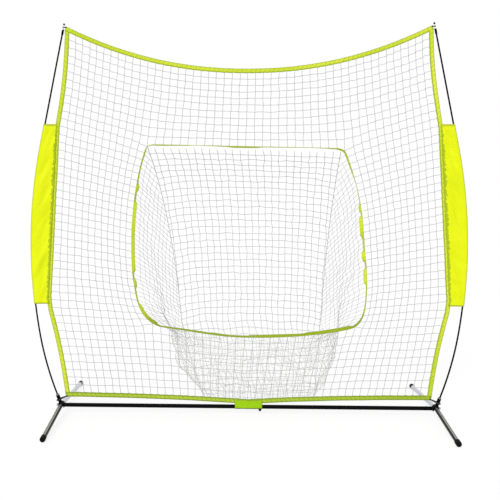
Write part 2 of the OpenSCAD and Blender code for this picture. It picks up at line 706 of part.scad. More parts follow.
// The mouth's side from top to bottom, against which the pocket's side is sewn.
function mouth_hold(t) =
    let (pts = unique(concat(mouth_side(rim_t / 2), [[open_half_low - open_low_r, open_low_corner - 3]])),
        k = t * (len(pts) - 1), i = min(floor(k), len(pts) - 2), p = lerp(pts[i], pts[i + 1], k - i))
    [p.x, pocket_hem_y, p.y];

module pocket_side(s) color(netting_white) at_net(s) sheet(
    [for (i = [0:pocket_rows]) let (a = mouth_hold(i / pocket_rows), b = crease(i / pocket_rows),
        c = b + unit(a - b) * seam_gap)
        [for (j = [0:3]) lerp(a, c, j / 3)]], pocket_t);

module pocket_front() color(netting_white) at_net() sheet(
    [for (i = [0:6]) [for (j = [0:12]) let (u = lerp(-1, 1, j / 12),
        top = [u * (open_half_low - open_low_r - seam_gap), pocket_hem_y,
            lerp(open_low, open_low_corner - 3, pow(abs(u), 1.6)) - rim_t / 2],
        low = [u * (pocket_seam_half - 2 * seam_gap), pocket_seam_y - 2 * seam_gap, pocket_seam_z])
        lerp(top, low, i / 6)]], pocket_t);

hub(-1);  // hub_left
hub(1);  // hub_right
hub_bolt(-1);  // hub_bolt_left
hub_bolt(1);  // hub_bolt_right
hub_washer(-1);  // hub_washer_left
hub_washer(1);  // hub_washer_right
hub_nut(-1);  // hub_nut_left
hub_nut(1);  // hub_nut_right
foot_tube(-1);  // foot_tube_left
foot_tube(1);  // foot_tube_right
foot_cap(-1, foot_front, -1);  // foot_cap_front_left
foot_cap(1, foot_front, -1);  // foot_cap_front_right
foot_cap(-1, foot_rear, 1);  // foot_cap_rear_left
foot_cap(1, foot_rear, 1);  // foot_cap_rear_right
crossbar_outer(-1);  // crossbar_outer_left
crossbar_outer(1);  // crossbar_outer_right
crossbar_inner_left();
crossbar_inner_right();
snap_button(-1);  // snap_button_left
snap_button(1);  // snap_button_right
snap_spring(-1);  // snap_spring_left
snap_spring(1);  // snap_spring_right
socket_collar(-1);  // socket_collar_left
socket_collar(1);  // socket_collar_right
pole_section(-1, socket_blind, joint_low);  // pole_lower_left
pole_section(1, socket_blind, joint_low);  // pole_lower_right
pole_section(-1, joint_low, joint_high);  // pole_middle_left
pole_section(1, joint_low, joint_high);  // pole_middle_right
pole_section(-1, joint_high, pole_end);  // pole_upper_left
pole_section(1, joint_high, pole_end);  // pole_upper_right
pole_ferrules(-1);  // pole_ferrules_left
pole_ferrules(1);  // pole_ferrules_right
pole_tip(-1);  // pole_tip_left
pole_tip(1);  // pole_tip_right
pole_ball(-1);  // pole_ball_left
pole_ball(1);  // pole_ball_right
corner_loop(-1);  // corner_loop_left
corner_loop(1);  // corner_loop_right
corner_strap(-1);  // corner_strap_left
corner_strap(1);  // corner_strap_right
centre_tab();
side_sleeve(-1);  // side_sleeve_left
side_sleeve(1);  // side_sleeve_right
binding_across(1);  // binding_top
binding_across(0);  // binding_bottom
binding_up(-1);  // binding_left
binding_up(1);  // binding_right
front_net_top();
front_net_bottom();
front_net_left();
front_net_right();
opening_rim();
pocket_back();
pocket_side(-1);  // pocket_left
pocket_side(1);  // pocket_right
pocket_front();
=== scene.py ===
import math

import bmesh
import bpy
import numpy as np
from mathutils import Matrix, Vector


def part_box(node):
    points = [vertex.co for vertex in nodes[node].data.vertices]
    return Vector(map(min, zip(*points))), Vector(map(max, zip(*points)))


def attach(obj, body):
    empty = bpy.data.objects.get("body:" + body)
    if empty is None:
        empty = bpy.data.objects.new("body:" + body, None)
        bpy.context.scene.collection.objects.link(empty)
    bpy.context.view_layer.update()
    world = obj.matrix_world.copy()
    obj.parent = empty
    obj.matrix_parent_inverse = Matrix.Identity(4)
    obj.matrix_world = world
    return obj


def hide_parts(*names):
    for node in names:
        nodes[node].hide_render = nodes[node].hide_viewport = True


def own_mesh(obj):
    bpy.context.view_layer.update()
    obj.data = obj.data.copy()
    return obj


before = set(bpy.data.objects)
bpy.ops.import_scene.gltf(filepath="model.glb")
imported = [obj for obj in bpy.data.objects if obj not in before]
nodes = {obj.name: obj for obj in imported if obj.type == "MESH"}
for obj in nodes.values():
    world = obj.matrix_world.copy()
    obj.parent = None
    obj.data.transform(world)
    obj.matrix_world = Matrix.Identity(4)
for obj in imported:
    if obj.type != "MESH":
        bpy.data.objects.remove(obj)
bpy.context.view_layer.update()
scene = bpy.context.scene
sideNames = {-1: "left", 1: "right"}
netPlane = (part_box("binding_top")[0].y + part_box("binding_top")[1].y) / 2
netMiddle = (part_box("binding_bottom")[0].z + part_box("binding_top")[1].z) / 2

# camera, floor and light

camera = {
    "place": (-0.097, -3.957, 1.442),
    "turn": 1.38,  # degrees to the left
    "pitch": -0.34,
    "roll": 0.09,
    "lens": 49.23,
    "shift": (0.0715, -0.165),
}


def addCamera(c):
    data = bpy.data.cameras.new("camera")
    data.lens = c["lens"]
    data.shift_x, data.shift_y = c["shift"]
    data.clip_end = 100
    eye = bpy.data.objects.new("camera", data)
    turn, pitch, roll = (math.radians(c[key]) for key in ("turn", "pitch", "roll"))
    aim = Matrix.Rotation(turn, 4, "Z") @ Matrix.Rotation(math.pi / 2 + pitch, 4, "X")
    eye.matrix_world = Matrix.Translation(c["place"]) @ aim @ Matrix.Rotation(roll, 4, "Z")
    scene.collection.objects.link(eye)
    scene.camera = eye


light = {
    "sky": 0.52,
    "sun": 1.75,
    "sunFrom": (-0.35, -1.2, 0.85),
    "softness": 30,  # degrees
    "floorHalf": 30.0,
    "floorGlow": 0.8,
    "floorTint": 0.25,  # the floor as the camera sees it, under its glow
    "floorTone": 0.8,  # and as the light on the object meets it
    "floorGap": 0.0005,  # a hair under the caps' soles
}


def feed(node, inputs):
    # each input takes a plain value or another node's socket
    for key, value in dict(inputs).items():
        if isinstance(value, bpy.types.NodeSocket):
            node.id_data.links.new(value, node.inputs[key])
        else:
            node.inputs[key].default_value = value


def addNode(tree, kind, inputs=(), **settings):
    node = tree.nodes.new(kind)
    for key, value in settings.items():
        setattr(node, key, value)
    feed(node, inputs)
    return node


def mathNode(tree, operation, *values, clamp=False):
    node = addNode(tree, "ShaderNodeMath", enumerate(values), operation=operation, use_clamp=clamp)
    return node.outputs[0]


def addSurroundings(s):
    world = bpy.data.worlds.new("studio")
    world.use_nodes = True
    scene.world = world
    tree = world.node_tree
    tree.nodes.clear()
    path = addNode(tree, "ShaderNodeLightPath").outputs
    seen = mathNode(tree, "ADD", path["Is Camera Ray"], path["Is Glossy Ray"])
    seen = mathNode(tree, "ADD", seen, path["Is Transmission Ray"], clamp=True)
    strength = mathNode(tree, "MULTIPLY_ADD", seen, 1 - s["sky"], s["sky"])
    sky = addNode(tree, "ShaderNodeBackground", {"Color": (1, 1, 1, 1), "Strength": strength})
    out = addNode(tree, "ShaderNodeOutputWorld", {"Surface": sky.outputs[0]})
    out.is_active_output = True

    data = bpy.data.lights.new("sun", "SUN")
    data.energy = s["sun"]
    data.angle = math.radians(s["softness"])
    sun = bpy.data.objects.new("sun", data)
    sun.rotation_euler = Vector(s["sunFrom"]).to_track_quat("Z", "Y").to_euler()
    scene.collection.objects.link(sun)

    paint = bpy.data.materials.new("floorPaint")
    paint.use_nodes = True
    tree = paint.node_tree
    tree.nodes.clear()
    path = addNode(tree, "ShaderNodeLightPath").outputs
    seen = mathNode(tree, "ADD", path["Is Camera Ray"], path["Is Glossy Ray"], clamp=True)
    plain = addNode(tree, "ShaderNodeBsdfDiffuse", {"Color": (*[s["floorTone"]] * 3, 1)})
    tinted = addNode(tree, "ShaderNodeBsdfDiffuse", {"Color": (*[s["floorTint"]] * 3, 1)})
    glow = addNode(tree, "ShaderNodeEmission", {"Color": (1, 1, 1, 1), "Strength": s["floorGlow"]})
    bright = addNode(tree, "ShaderNodeAddShader", {0: tinted.outputs[0], 1: glow.outputs[0]})
    mix = addNode(tree, "ShaderNodeMixShader", {0: seen, 1: plain.outputs[0], 2: bright.outputs[0]})
    addNode(tree, "ShaderNodeOutputMaterial", {"Surface": mix.outputs[0]})

    half = s["floorHalf"]
    mesh = bpy.data.meshes.new("floor")
    corners = [(-half, -half, 0), (half, -half, 0), (half, half, 0), (-half, half, 0)]
    mesh.from_pydata(corners, [], [(0, 1, 2, 3)])
    mesh.materials.append(paint)
    floor = bpy.data.objects.new("floor", mesh)
    floor.location.z = -s["floorGap"]
    scene.collection.objects.link(floor)


scene.view_settings.view_transform = "Standard"
addCamera(camera)
addSurroundings(light)
print("camera and studio ready")

# shader nodes in short


def blend(tree, share, a, b):
    return addNode(tree, "ShaderNodeMix", {0: share, 6: a, 7: b}, data_type="RGBA").outputs[2]


def mixNumbers(tree, share, a, b):
    return addNode(tree, "ShaderNodeMix", {0: share, 2: a, 3: b}).outputs[0]


def ranged(tree, value, start, end, top=1.0, **settings):
    # 0 up to start, and top from end on
    inputs = {"Value": value, "From Min": start, "From Max": end, "To Max": top}
    return addNode(tree, "ShaderNodeMapRange", inputs, **settings).outputs[0]


def between(tree, value, low, high):
    return addNode(tree, "ShaderNodeMapRange", {"Value": value, "To Min": low, "To Max": high}).outputs[0]


def noise(tree, place, scale, detail):
    inputs = {"Vector": place, "Scale": scale, "Detail": detail}
    return addNode(tree, "ShaderNodeTexNoise", inputs).outputs[0]


def axes(tree, value):
    return addNode(tree, "ShaderNodeSeparateXYZ", {0: value}).outputs


def objectSpace(tree, kind="Object"):
    return addNode(tree, "ShaderNodeTexCoord").outputs[kind]


# shader groups that several materials share

number, colour, vector = "NodeSocketFloat", "NodeSocketColor", "NodeSocketVector"


def newGroup(name, inputs, outputs):
    group = bpy.data.node_groups.new(name, "ShaderNodeTree")
    for label, (kind, value) in {"Vector": (vector, None), **inputs}.items():
        socket = group.interface.new_socket(label, in_out="INPUT", socket_type=kind)
        if value is not None:
            socket.default_value = value
    for label, kind in outputs.items():
        group.interface.new_socket(label, in_out="OUTPUT", socket_type=kind)
    return group, addNode(group, "NodeGroupInput").outputs, addNode(group, "NodeGroupOutput")


mottleNoise = {"patchDetail": 4.0, "grainDetail": 2.0, "fade": (0.35, 0.65)}


def makeMottle(s):
    # slow patches of two tones, with a finer grain over them
    group, given, result = newGroup(
        "mottle",
        {"Tone": (colour, None), "Patch Tone": (colour, None), "Patches": (number, 6.0),
         "Grain": (number, 400.0), "Grain Share": (number, 0.3)},
        {"Color": colour, "Mask": number, "Height": number})
    patch = noise(group, given["Vector"], given["Patches"], s["patchDetail"])
    grain = noise(group, given["Vector"], given["Grain"], s["grainDetail"])
    mask = ranged(group, mixNumbers(group, given["Grain Share"], patch, grain), *s["fade"])
    tone = blend(group, mask, given["Tone"], given["Patch Tone"])
    feed(result, {"Color": tone, "Mask": mask, "Height": grain})
    return group


def ridge(group, phase):
    # a row of rounded ridges, one for each whole step of the phase
    wave = mathNode(group, "SINE", mathNode(group, "MULTIPLY", phase, math.pi))
    return mathNode(group, "ABSOLUTE", wave)


def makeWeave():
    # warp and weft threads that go over and under each other, on metric coordinates
    group, given, result = newGroup(
        "weave", {"Threads Along": (number, 800.0), "Threads Across": (number, 800.0)}, {"Height": number})
    parts = axes(group, given["Vector"])
    along = mathNode(group, "MULTIPLY", parts[0], given["Threads Along"])
    across = mathNode(group, "MULTIPLY", parts[1], given["Threads Across"])
    steps = mathNode(group, "ADD", mathNode(group, "FLOOR", along), mathNode(group, "FLOOR", across))
    over = mathNode(group, "MODULO", mathNode(group, "ABSOLUTE", steps), 2.0)
    feed(result, {"Height": mixNumbers(group, over, ridge(group, along), ridge(group, across))})
    return group


def makeTwist():
    # diagonal strands of a laid or braided cord: u runs along it and v round it
    group, given, result = newGroup(
        "twist",
        {"Turns": (number, 150.0), "Strands": (number, 3.0), "Braid": (number, 0.0)}, {"Height": number})
    parts = axes(group, given["Vector"])
    along = mathNode(group, "MULTIPLY", parts[0], given["Turns"])
    around = mathNode(group, "MULTIPLY", parts[1], given["Strands"])
    laid = ridge(group, mathNode(group, "ADD", along, around))
    counter = ridge(group, mathNode(group, "SUBTRACT", along, around))
    braid = mathNode(group, "MULTIPLY", counter, given["Braid"])
    feed(result, {"Height": mathNode(group, "MAXIMUM", laid, braid)})
    return group


# how far noise shifts a border, as a share of the width, and where borders and creases fade out
selvedgeFade = {"stray": 0.08, "strayScale": 60.0, "strayDetail": 3.0,
                "border": (1.15, 0.75), "crease": (0.13, 0.05)}


def makeSelvedge(s):
    # darker borders of a webbing, and the creases that cross it at a slant
    group, given, result = newGroup(
        "selvedge",
        {"Width": (number, 0.022), "Near": (number, 0.15), "Far": (number, 0.3),
         "Every": (number, 0.08), "Slant": (number, 1.5), "Creases": (number, 0.75)},
        {"Mask": number})
    parts = axes(group, given["Vector"])
    share = mathNode(group, "DIVIDE", parts[1], given["Width"])
    stray = noise(group, given["Vector"], s["strayScale"], s["strayDetail"])
    stray = mathNode(group, "MULTIPLY_ADD", stray, 2 * s["stray"], -s["stray"])
    share = mathNode(group, "ADD", share, stray)

    def border(distance, depth):
        # 1 at the edge, falling to 0 past the border's depth
        ratio = mathNode(group, "DIVIDE", distance, depth)
        return ranged(group, ratio, *s["border"], interpolation_type="SMOOTHSTEP")

    near = border(share, given["Near"])
    far = border(mathNode(group, "SUBTRACT", 1.0, share), given["Far"])
    phase = mathNode(group, "ADD", mathNode(group, "DIVIDE", parts[0], given["Every"]),
                     mathNode(group, "MULTIPLY", share, given["Slant"]))
    crease = ranged(group, mathNode(group, "PINGPONG", phase, 0.5), *s["crease"], given["Creases"])
    borders = mathNode(group, "MAXIMUM", near, far)
    feed(result, {"Mask": mathNode(group, "MAXIMUM", borders, crease)})
    return group


wearFade = {"edge": (0.985, 0.9), "broken": (0.4, 0.6), "detail": 5.0}


def makeWear(s):
    # a mask of rubbed edges, broken up by noise
    group, given, result = newGroup(
        "edgeWear",
        {"Radius": (number, 0.001), "Scale": (number, 90.0), "Amount": (number, 0.5)}, {"Mask": number})
    rounded = addNode(group, "ShaderNodeBevel", {"Radius": given["Radius"]}, samples=4).outputs[0]
    true = addNode(group, "ShaderNodeNewGeometry").outputs["Normal"]
    facing = addNode(group, "ShaderNodeVectorMath", {0: rounded, 1: true}, operation="DOT_PRODUCT")
    edge = ranged(group, facing.outputs["Value"], *s["edge"])
    broken = ranged(group, noise(group, given["Vector"], given["Scale"], s["detail"]), *s["broken"])
    worn = mathNode(group, "MULTIPLY", edge, broken)
    feed(result, {"Mask": mathNode(group, "MULTIPLY", worn, given["Amount"])})
    return group


groups = {"mottle": makeMottle(mottleNoise), "weave": makeWeave(), "twist": makeTwist(),
          "selvedge": makeSelvedge(selvedgeFade), "wear": makeWear(wearFade)}


def effect(tree, name, **inputs):
    node = addNode(tree, "ShaderNodeGroup")
    node.node_tree = groups[name]
    feed(node, {key.replace("_", " "): value for key, value in inputs.items()})
    return node.outputs


def shade(rgb):
    # a colour as seen on screen, 0 to 255, in Blender's own linear values
    def straight(value):
        value /= 255
        return value / 12.92 if value <= 0.04045 else ((value + 0.055) / 1.055) ** 2.4
    return (*[straight(value) for value in rgb], 1.0)


def mottled(tree, place, s, patches, grain, grainShare=0.3):
    return effect(tree, "mottle", Vector=place, Tone=shade(s["tone"]), Patch_Tone=shade(s["patch"]),
                  Patches=patches, Grain=grain, Grain_Share=grainShare)


def newMaterial(name):
    material = bpy.data.materials.new(name)
    material.use_nodes = True
    tree = material.node_tree
    tree.nodes.clear()
    surface = addNode(tree, "ShaderNodeBsdfPrincipled")
    addNode(tree, "ShaderNodeOutputMaterial", {"Surface": surface.outputs[0]})
    return material, tree, surface


def bump(tree, height, depth):
    return addNode(tree, "ShaderNodeBump", {"Height": height, "Distance": depth, "Strength": 1.0}).outputs[0]


# metals and plastics on the CAD nodes

coated = {"tone": (4, 4, 5), "patch": (9, 9, 10), "bare": (80, 78, 76), "shine": 0.035,
          "rough": (0.42, 0.56), "patches": 14.0, "peel": 1400.0, "peelDepth": 0.00006,
          "wearRadius": 0.0009, "wear": 0.55}


def coatedSteel(s):
    material, tree, surface = newMaterial("coatedSteel")
    place = objectSpace(tree)
    mottle = mottled(tree, place, s, s["patches"], s["peel"])
    worn = effect(tree, "wear", Vector=place, Radius=s["wearRadius"], Amount=s["wear"])["Mask"]
    feed(surface, {"Base Color": blend(tree, worn, mottle["Color"], shade(s["bare"])),
                   "Roughness": between(tree, mottle["Mask"], *s["rough"]), "Metallic": worn,
                   "Specular IOR Level": s["shine"],
                   "Normal": bump(tree, mottle["Height"], s["peelDepth"])})
    return material


drawn = {"tone": (168, 168, 164), "patch": (128, 128, 126), "rough": (0.2, 0.42), "patches": 9.0,
         "grain": 300.0, "depth": 0.00003}
zinc = {**drawn, "lines": (300.0, 300.0, 300.0), "tone": (190, 190, 182), "patch": (160, 162, 150)}
springSteel = {**drawn, "lines": (20.0, 900.0, 900.0), "tone": (150, 150, 152), "patch": (110, 112, 118)}
tubeSteel = {
    **drawn, "lines": (900.0, 14.0, 900.0),
    # painted reflection: dark and bright tones round the tube, from the side that faces the other foot to
    # the far side
    "steps": ((0.0, 150), (0.25, 138), (0.46, 100), (0.54, 150), (0.64, 196), (0.7, 150), (0.76, 16),
              (1.0, 6)),
    # the tube's rear part is painted pale, a painted reflection
    "share": 0.94, "behind": -0.05, "paintedPaleShare": 0.78, "paintedPaleTone": (222, 222, 232),
}


def paintedReflectionLines(tree, s):
    # a tube's long dark and bright lines, a painted reflection set by which way the surface faces, with the
    # rear part painted pale
    normal, place = axes(tree, objectSpace(tree, "Normal")), axes(tree, objectSpace(tree))
    inward = mathNode(tree, "MULTIPLY", normal[0], mathNode(tree, "SIGN", place[0]))
    ramp = addNode(tree, "ShaderNodeValToRGB", {0: mathNode(tree, "MULTIPLY_ADD", inward, -0.5, 0.5)})
    steps = ramp.color_ramp.elements
    while len(steps) < len(s["steps"]):
        steps.new(0.5)
    for step, (at, tone) in zip(steps, s["steps"]):
        step.position = at
        step.color = shade((tone, tone, tone - 1 if tone > 150 else tone + 1))  # warm painted highlights, cool painted darks
    behind = mathNode(tree, "MULTIPLY", mathNode(tree, "GREATER_THAN", place[1], s["behind"]), s["paintedPaleShare"])
    return blend(tree, behind, ramp.outputs[0], shade(s["paintedPaleTone"]))


def streaks(tree, lines, detail):
    # noise drawn out along a piece
    stretched = addNode(tree, "ShaderNodeMapping", {"Vector": objectSpace(tree), "Scale": lines})
    return noise(tree, stretched.outputs[0], 1.0, detail)


def drawnMetal(s, name):
    # bright metal with fine lines along the way that it was drawn
    material, tree, surface = newMaterial(name)
    streak = streaks(tree, s["lines"], 3.0)
    toned = mottled(tree, objectSpace(tree), s, s["patches"], s["grain"])["Color"]
    # a tube gets painted reflection lines over its own tone
    if "steps" in s:
        toned = blend(tree, s["share"], toned, paintedReflectionLines(tree, s))
    feed(surface, {"Base Color": toned, "Roughness": between(tree, streak, *s["rough"]), "Metallic": 1.0,
                   "Normal": bump(tree, streak, s["depth"])})
    return material


moulded = {"tone": (6, 6, 7), "patch": (14, 14, 15), "rough": (0.5, 0.66), "shine": 0.08, "patches": 30.0,
           "grain": 2200.0, "grainShare": 0.5, "depth": 0.00008}
greyMoulded = {**moulded, "tone": (150, 150, 152), "patch": (130, 130, 133)}


def mouldedPlastic(s, name):
    material, tree, surface = newMaterial(name)
    mottle = mottled(tree, objectSpace(tree), s, s["patches"], s["grain"], s["grainShare"])
    feed(surface, {"Base Color": mottle["Color"], "Roughness": between(tree, mottle["Mask"], *s["rough"]),
                   "Specular IOR Level": s["shine"], "Normal": bump(tree, mottle["Height"], s["depth"])})
    return material


rod = {"tone": (2, 2, 3), "patch": (7, 7, 8), "rough": (0.4, 0.55), "shine": 0.02,
       "fibres": (1600.0, 1600.0, 9.0), "depth": 0.00004}


def fibreRod(s):
    material, tree, surface = newMaterial("fibreRod")
    fibre = streaks(tree, s["fibres"], 4.0)
    feed(surface, {"Base Color": blend(tree, fibre, shade(s["tone"]), shade(s["patch"])),
                   "Roughness": between(tree, fibre, *s["rough"]), "Specular IOR Level": s["shine"],
                   "Normal": bump(tree, fibre, s["depth"])})
    return material


tip = {**drawn, "lines": (900.0, 900.0, 40.0), "tone": (226, 226, 222), "patch": (196, 196, 194),
       "dipped": 0.03, "line": 0.001}


def tipSteel(s):
    # the lower part of the tip is dipped in the rod's black
    material = drawnMetal(s, "tipSteel")
    tree = material.node_tree
    surface = next(node for node in tree.nodes if node.type == "BSDF_PRINCIPLED")
    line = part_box("pole_tip_left")[1].z - s["dipped"]
    bare = ranged(tree, axes(tree, objectSpace(tree))[2], line - s["line"], line + s["line"])
    steel = surface.inputs["Base Color"].links[0].from_socket
    feed(surface, {"Base Color": blend(tree, bare, shade(rod["tone"]), steel), "Metallic": bare,
                   "Specular IOR Level": rod["shine"]})
    return material


finishes = {
    "black_steel": coatedSteel(coated),
    "zinc_fastener": drawnMetal(zinc, "zincPlate"),
    "polished_steel": drawnMetal(tubeSteel, "tubeSteel"),
    "spring_steel": drawnMetal(springSteel, "springSteel"),
    "black_plastic": mouldedPlastic(moulded, "mouldedPlastic"),
    "grey_plastic": mouldedPlastic(greyMoulded, "greyPlastic"),
    "pole_rod": fibreRod(rod),
}
tipFinish = tipSteel(tip)

for name, node in nodes.items():
    slot = node.data.materials[0].name.split(".")[0]
    if slot in finishes:
        node.data.materials[0] = tipFinish if name.startswith("pole_tip") else finishes[slot]
print("metals and plastics finished")

# materials of the soft goods

strandLook = {"tone": (216, 216, 218), "patch": (204, 204, 207), "grooveShade": (186, 186, 190), "rough": 0.6,
              "patches": 3.0, "grain": 500.0, "turns": 420.0, "strands": 3.0, "depth": 0.0003}
# the pocket's cords are painted paler in its lower part, a painted lightening that lifts the shade deep in
# the pocket
backLook = {**strandLook, "slack": (242, 242, 239), "slackBelow": (0.40, 0.33), "slackShare": 0.75}
# the skirt's cords are painted paler still, to lift the shade in the pocket
skirtLook = {**backLook, "tone": (220, 220, 221), "patch": (208, 208, 210), "grooveShade": (194, 194, 197),
             "slackBelow": (0.54, 0.46), "slackShare": 0.9}


def alongPiece(tree):
    return addNode(tree, "ShaderNodeUVMap", uv_map="run").outputs[0]


def netCord(s, name):
    material, tree, surface = newMaterial(name)
    place = objectSpace(tree)
    twist = effect(tree, "twist", Vector=alongPiece(tree), Turns=s["turns"], Strands=s["strands"])["Height"]
    toned = mottled(tree, place, s, s["patches"], s["grain"])["Color"]
    # painted shade in the grooves between the cord's strands
    toned = blend(tree, twist, shade(s["grooveShade"]), toned)
    # painted light: paler lower down, lifting the shade in the pocket
    if "slack" in s:
        low = ranged(tree, axes(tree, place)[2], *s["slackBelow"], s["slackShare"])
        toned = blend(tree, low, toned, shade(s["slack"]))
    feed(surface, {"Base Color": toned, "Roughness": s["rough"], "Normal": bump(tree, twist, s["depth"])})
    return material


cloth = {"shine": 0.15, "grain": 700.0, "gapSteep": 3.0}
# widths are in metres and threads to a metre, near and far are the borders' shares of the width, and thread
# is the darker tone painted into the gaps between threads as shade
webbing = {**cloth, "tone": (252, 255, 84), "patch": (194, 216, 44), "thread": (214, 230, 48),
           "edge": (164, 190, 38), "width": 0.0257, "near": 0.14, "far": 0.26, "every": 0.0265,
           "slant": 0.9, "creases": 0.7, "patches": 1.7, "along": 620.0, "across": 900.0,
           "rough": (0.55, 0.8), "depth": 0.00035}
# the bottom binding's webbing is painted darker all over, a painted shade
webbingShaded = {**webbing, "tone": (200, 222, 74), "patch": (172, 200, 52), "edge": (136, 162, 38),
              "thread": (154, 176, 42), "near": 0.26, "far": 0.22}
rimLook = {**webbing, "tone": (208, 228, 34), "patch": (236, 246, 76), "thread": (176, 196, 28),
           # low is a painted shade on the rim's lower part
           "edge": (176, 200, 38), "low": (126, 150, 28), "paintedShadeBelow": (0.62, 0.54), "lowShare": 0.8,
           "width": 0.0215, "near": 0.1, "far": 0.06, "every": 0.021, "slant": 0.6, "creases": 0.6,
           "patches": 14.0, "along": 700.0, "depth": 0.0003}
sleeveLook = {**cloth, "tone": (246, 255, 22), "patch": (234, 246, 10), "thread": (214, 226, 8),
              "edge": (168, 190, 34), "width": 0.165, "near": 0.06, "far": 0.06, "every": 1.0,
              "slant": 0.0, "creases": 0.0, "patches": 7.0, "along": 1500.0, "across": 1500.0,
              "rough": (0.45, 0.65), "depth": 0.0002, "length": 1.03, "hem": (178, 190, 40),
              # hem is the doubled ends' tone, and the same tone is painted as shade along the fold
              "hemFade": (0.009, 0.00525), "hemShare": 0.9, "foldShadeFade": (0.0105, 0.0049), "foldShadeShare": 0.85}
tabLook = {**cloth, "tone": (172, 222, 18), "patch": (160, 208, 14), "thread": (124, 166, 8),
           "patches": 11.0, "paintedUnderShade": (22, 44, 2), "underShadeFrom": (-0.3, -0.6), "along": 1100.0,
           "across": 1100.0, "rough": (0.55, 0.75), "depth": 0.0003}


def hemToneAndFoldShade(tree, flat, s):
    # the doubled ends of a tube of cloth in a darker tone, and painted shade along the fold that lies
    # against its pole
    parts = axes(tree, flat)
    fromEnd = mathNode(tree, "MINIMUM", parts[0], mathNode(tree, "SUBTRACT", s["length"], parts[0]))
    fromFold = mathNode(tree, "ABSOLUTE", mathNode(tree, "SUBTRACT", parts[1], s["width"] / 2))
    hem = ranged(tree, fromEnd, *s["hemFade"], s["hemShare"])
    # painted shade along the fold
    fold = ranged(tree, fromFold, *s["foldShadeFade"], s["foldShadeShare"])
    return mathNode(tree, "MAXIMUM", hem, fold)


def wovenCloth(s, name):
    material, tree, surface = newMaterial(name)
    flat, place = alongPiece(tree), objectSpace(tree)
    weave = effect(tree, "weave", Vector=flat, Threads_Along=s["along"],
                   Threads_Across=s["across"])["Height"]
    toned = mottled(tree, place, s, s["patches"], s["grain"])["Color"]
    if "edge" in s:
        border = effect(tree, "selvedge", Vector=flat, Width=s["width"], Near=s["near"], Far=s["far"],
                        Every=s["every"], Slant=s["slant"], Creases=s["creases"])["Mask"]
        toned = blend(tree, border, toned, shade(s["edge"]))
    if "paintedUnderShade" in s:  # painted shade on the underside, where the cloth faces down
        down = ranged(tree, axes(tree, objectSpace(tree, "Normal"))[2], *s["underShadeFrom"])
        toned = blend(tree, down, toned, shade(s["paintedUnderShade"]))
    if "low" in s:  # painted shade: darker olive on the rim's low part
        low = ranged(tree, axes(tree, place)[2], *s["paintedShadeBelow"], s["lowShare"])
        toned = blend(tree, low, toned, shade(s["low"]))
    if "hem" in s:
        toned = blend(tree, hemToneAndFoldShade(tree, flat, s), toned, shade(s["hem"]))
    # painted shade: the gaps between the woven threads take the darker thread tone
    gap = mathNode(tree, "POWER", mathNode(tree, "SUBTRACT", 1.0, weave, clamp=True), s["gapSteep"])
    feed(surface, {"Base Color": blend(tree, gap, toned, shade(s["thread"])),
                   "Roughness": between(tree, weave, *s["rough"][::-1]),
                   "Specular IOR Level": s["shine"], "Normal": bump(tree, weave, s["depth"])})
    return material


elastic = {"tone": (24, 24, 25), "patch": (38, 38, 40), "rough": 0.7, "turns": 260.0, "strands": 4.0,
           "depth": 0.0004, "braid": 0.9}
thread = {**elastic, "tone": (112, 132, 30), "patch": (134, 154, 40), "turns": 900.0, "strands": 2.0,
          "depth": 0.0001}


def braidedCord(s, name):
    material, tree, surface = newMaterial(name)
    twist = effect(tree, "twist", Vector=alongPiece(tree), Turns=s["turns"], Strands=s["strands"],
                   Braid=s["braid"])["Height"]
    # painted shade: the cord's grooves take the darker tone, its strands the lighter patch
    feed(surface, {"Base Color": blend(tree, twist, shade(s["tone"]), shade(s["patch"])),
                   "Roughness": s["rough"], "Normal": bump(tree, twist, s["depth"])})
    return material


looks = {
    "netting": netCord(strandLook, "netCord"),
    "backNetting": netCord(backLook, "backNetCord"),
    "skirtNetting": netCord(skirtLook, "skirtNetCord"),
    "webbing": wovenCloth(webbing, "bindingWebbing"),
    "webbingShaded": wovenCloth(webbingShaded, "bindingWebbingLow"),
    "sleeve": wovenCloth(sleeveLook, "sleeveCloth"),
    "tab": wovenCloth(tabLook, "tabCloth"),
    "rim": wovenCloth(rimLook, "rimWebbing"),
    "elastic": braidedCord(elastic, "braidedCord"),
    "thread": braidedCord(thread, "sewingThread"),
}
print("cloth and cord materials ready")

# geometry helpers


def unit(v):
    # vectors at a length of 1
    return v / np.maximum(np.linalg.norm(v, axis=-1, keepdims=True), 1e-12)


def reach(points):
    # how far along a line each of its points is
    return np.r_[0, np.cumsum(np.linalg.norm(np.diff(points, axis=0), axis=1))]


def pointAt(line, places, at):
    # the points of a line at some places along it, where places says how far along its own points are
    return np.stack([np.interp(at, places, axis) for axis in np.asarray(line).T], axis=-1)


def lineAt(line, share):
    # the same where the line's own points are evenly spaced, and share runs from 0 to 1
    return pointAt(line, np.linspace(0, 1, len(line)), share)


def resample(points, count):
    along = reach(points)
    return pointAt(points, along, np.linspace(0, along[-1], count))


def boxy(wave, power):
    # a sine or cosine drawn out towards a square wave
    return np.sign(wave) * np.abs(wave) ** power


def smoothNoise(points, scale, seed, waves=9, spread=(0.6, 1.7)):
    # a few slanted waves added up, about scale of them to a metre, and the same in every run
    random = np.random.RandomState(seed)
    total = np.zeros(len(points))
    for _ in range(waves):
        way = unit(random.normal(size=points.shape[1])) * scale * random.uniform(*spread)
        total += np.sin(points @ way * 2 * math.pi + random.uniform(0, 2 * math.pi))
    return total / math.sqrt(waves)


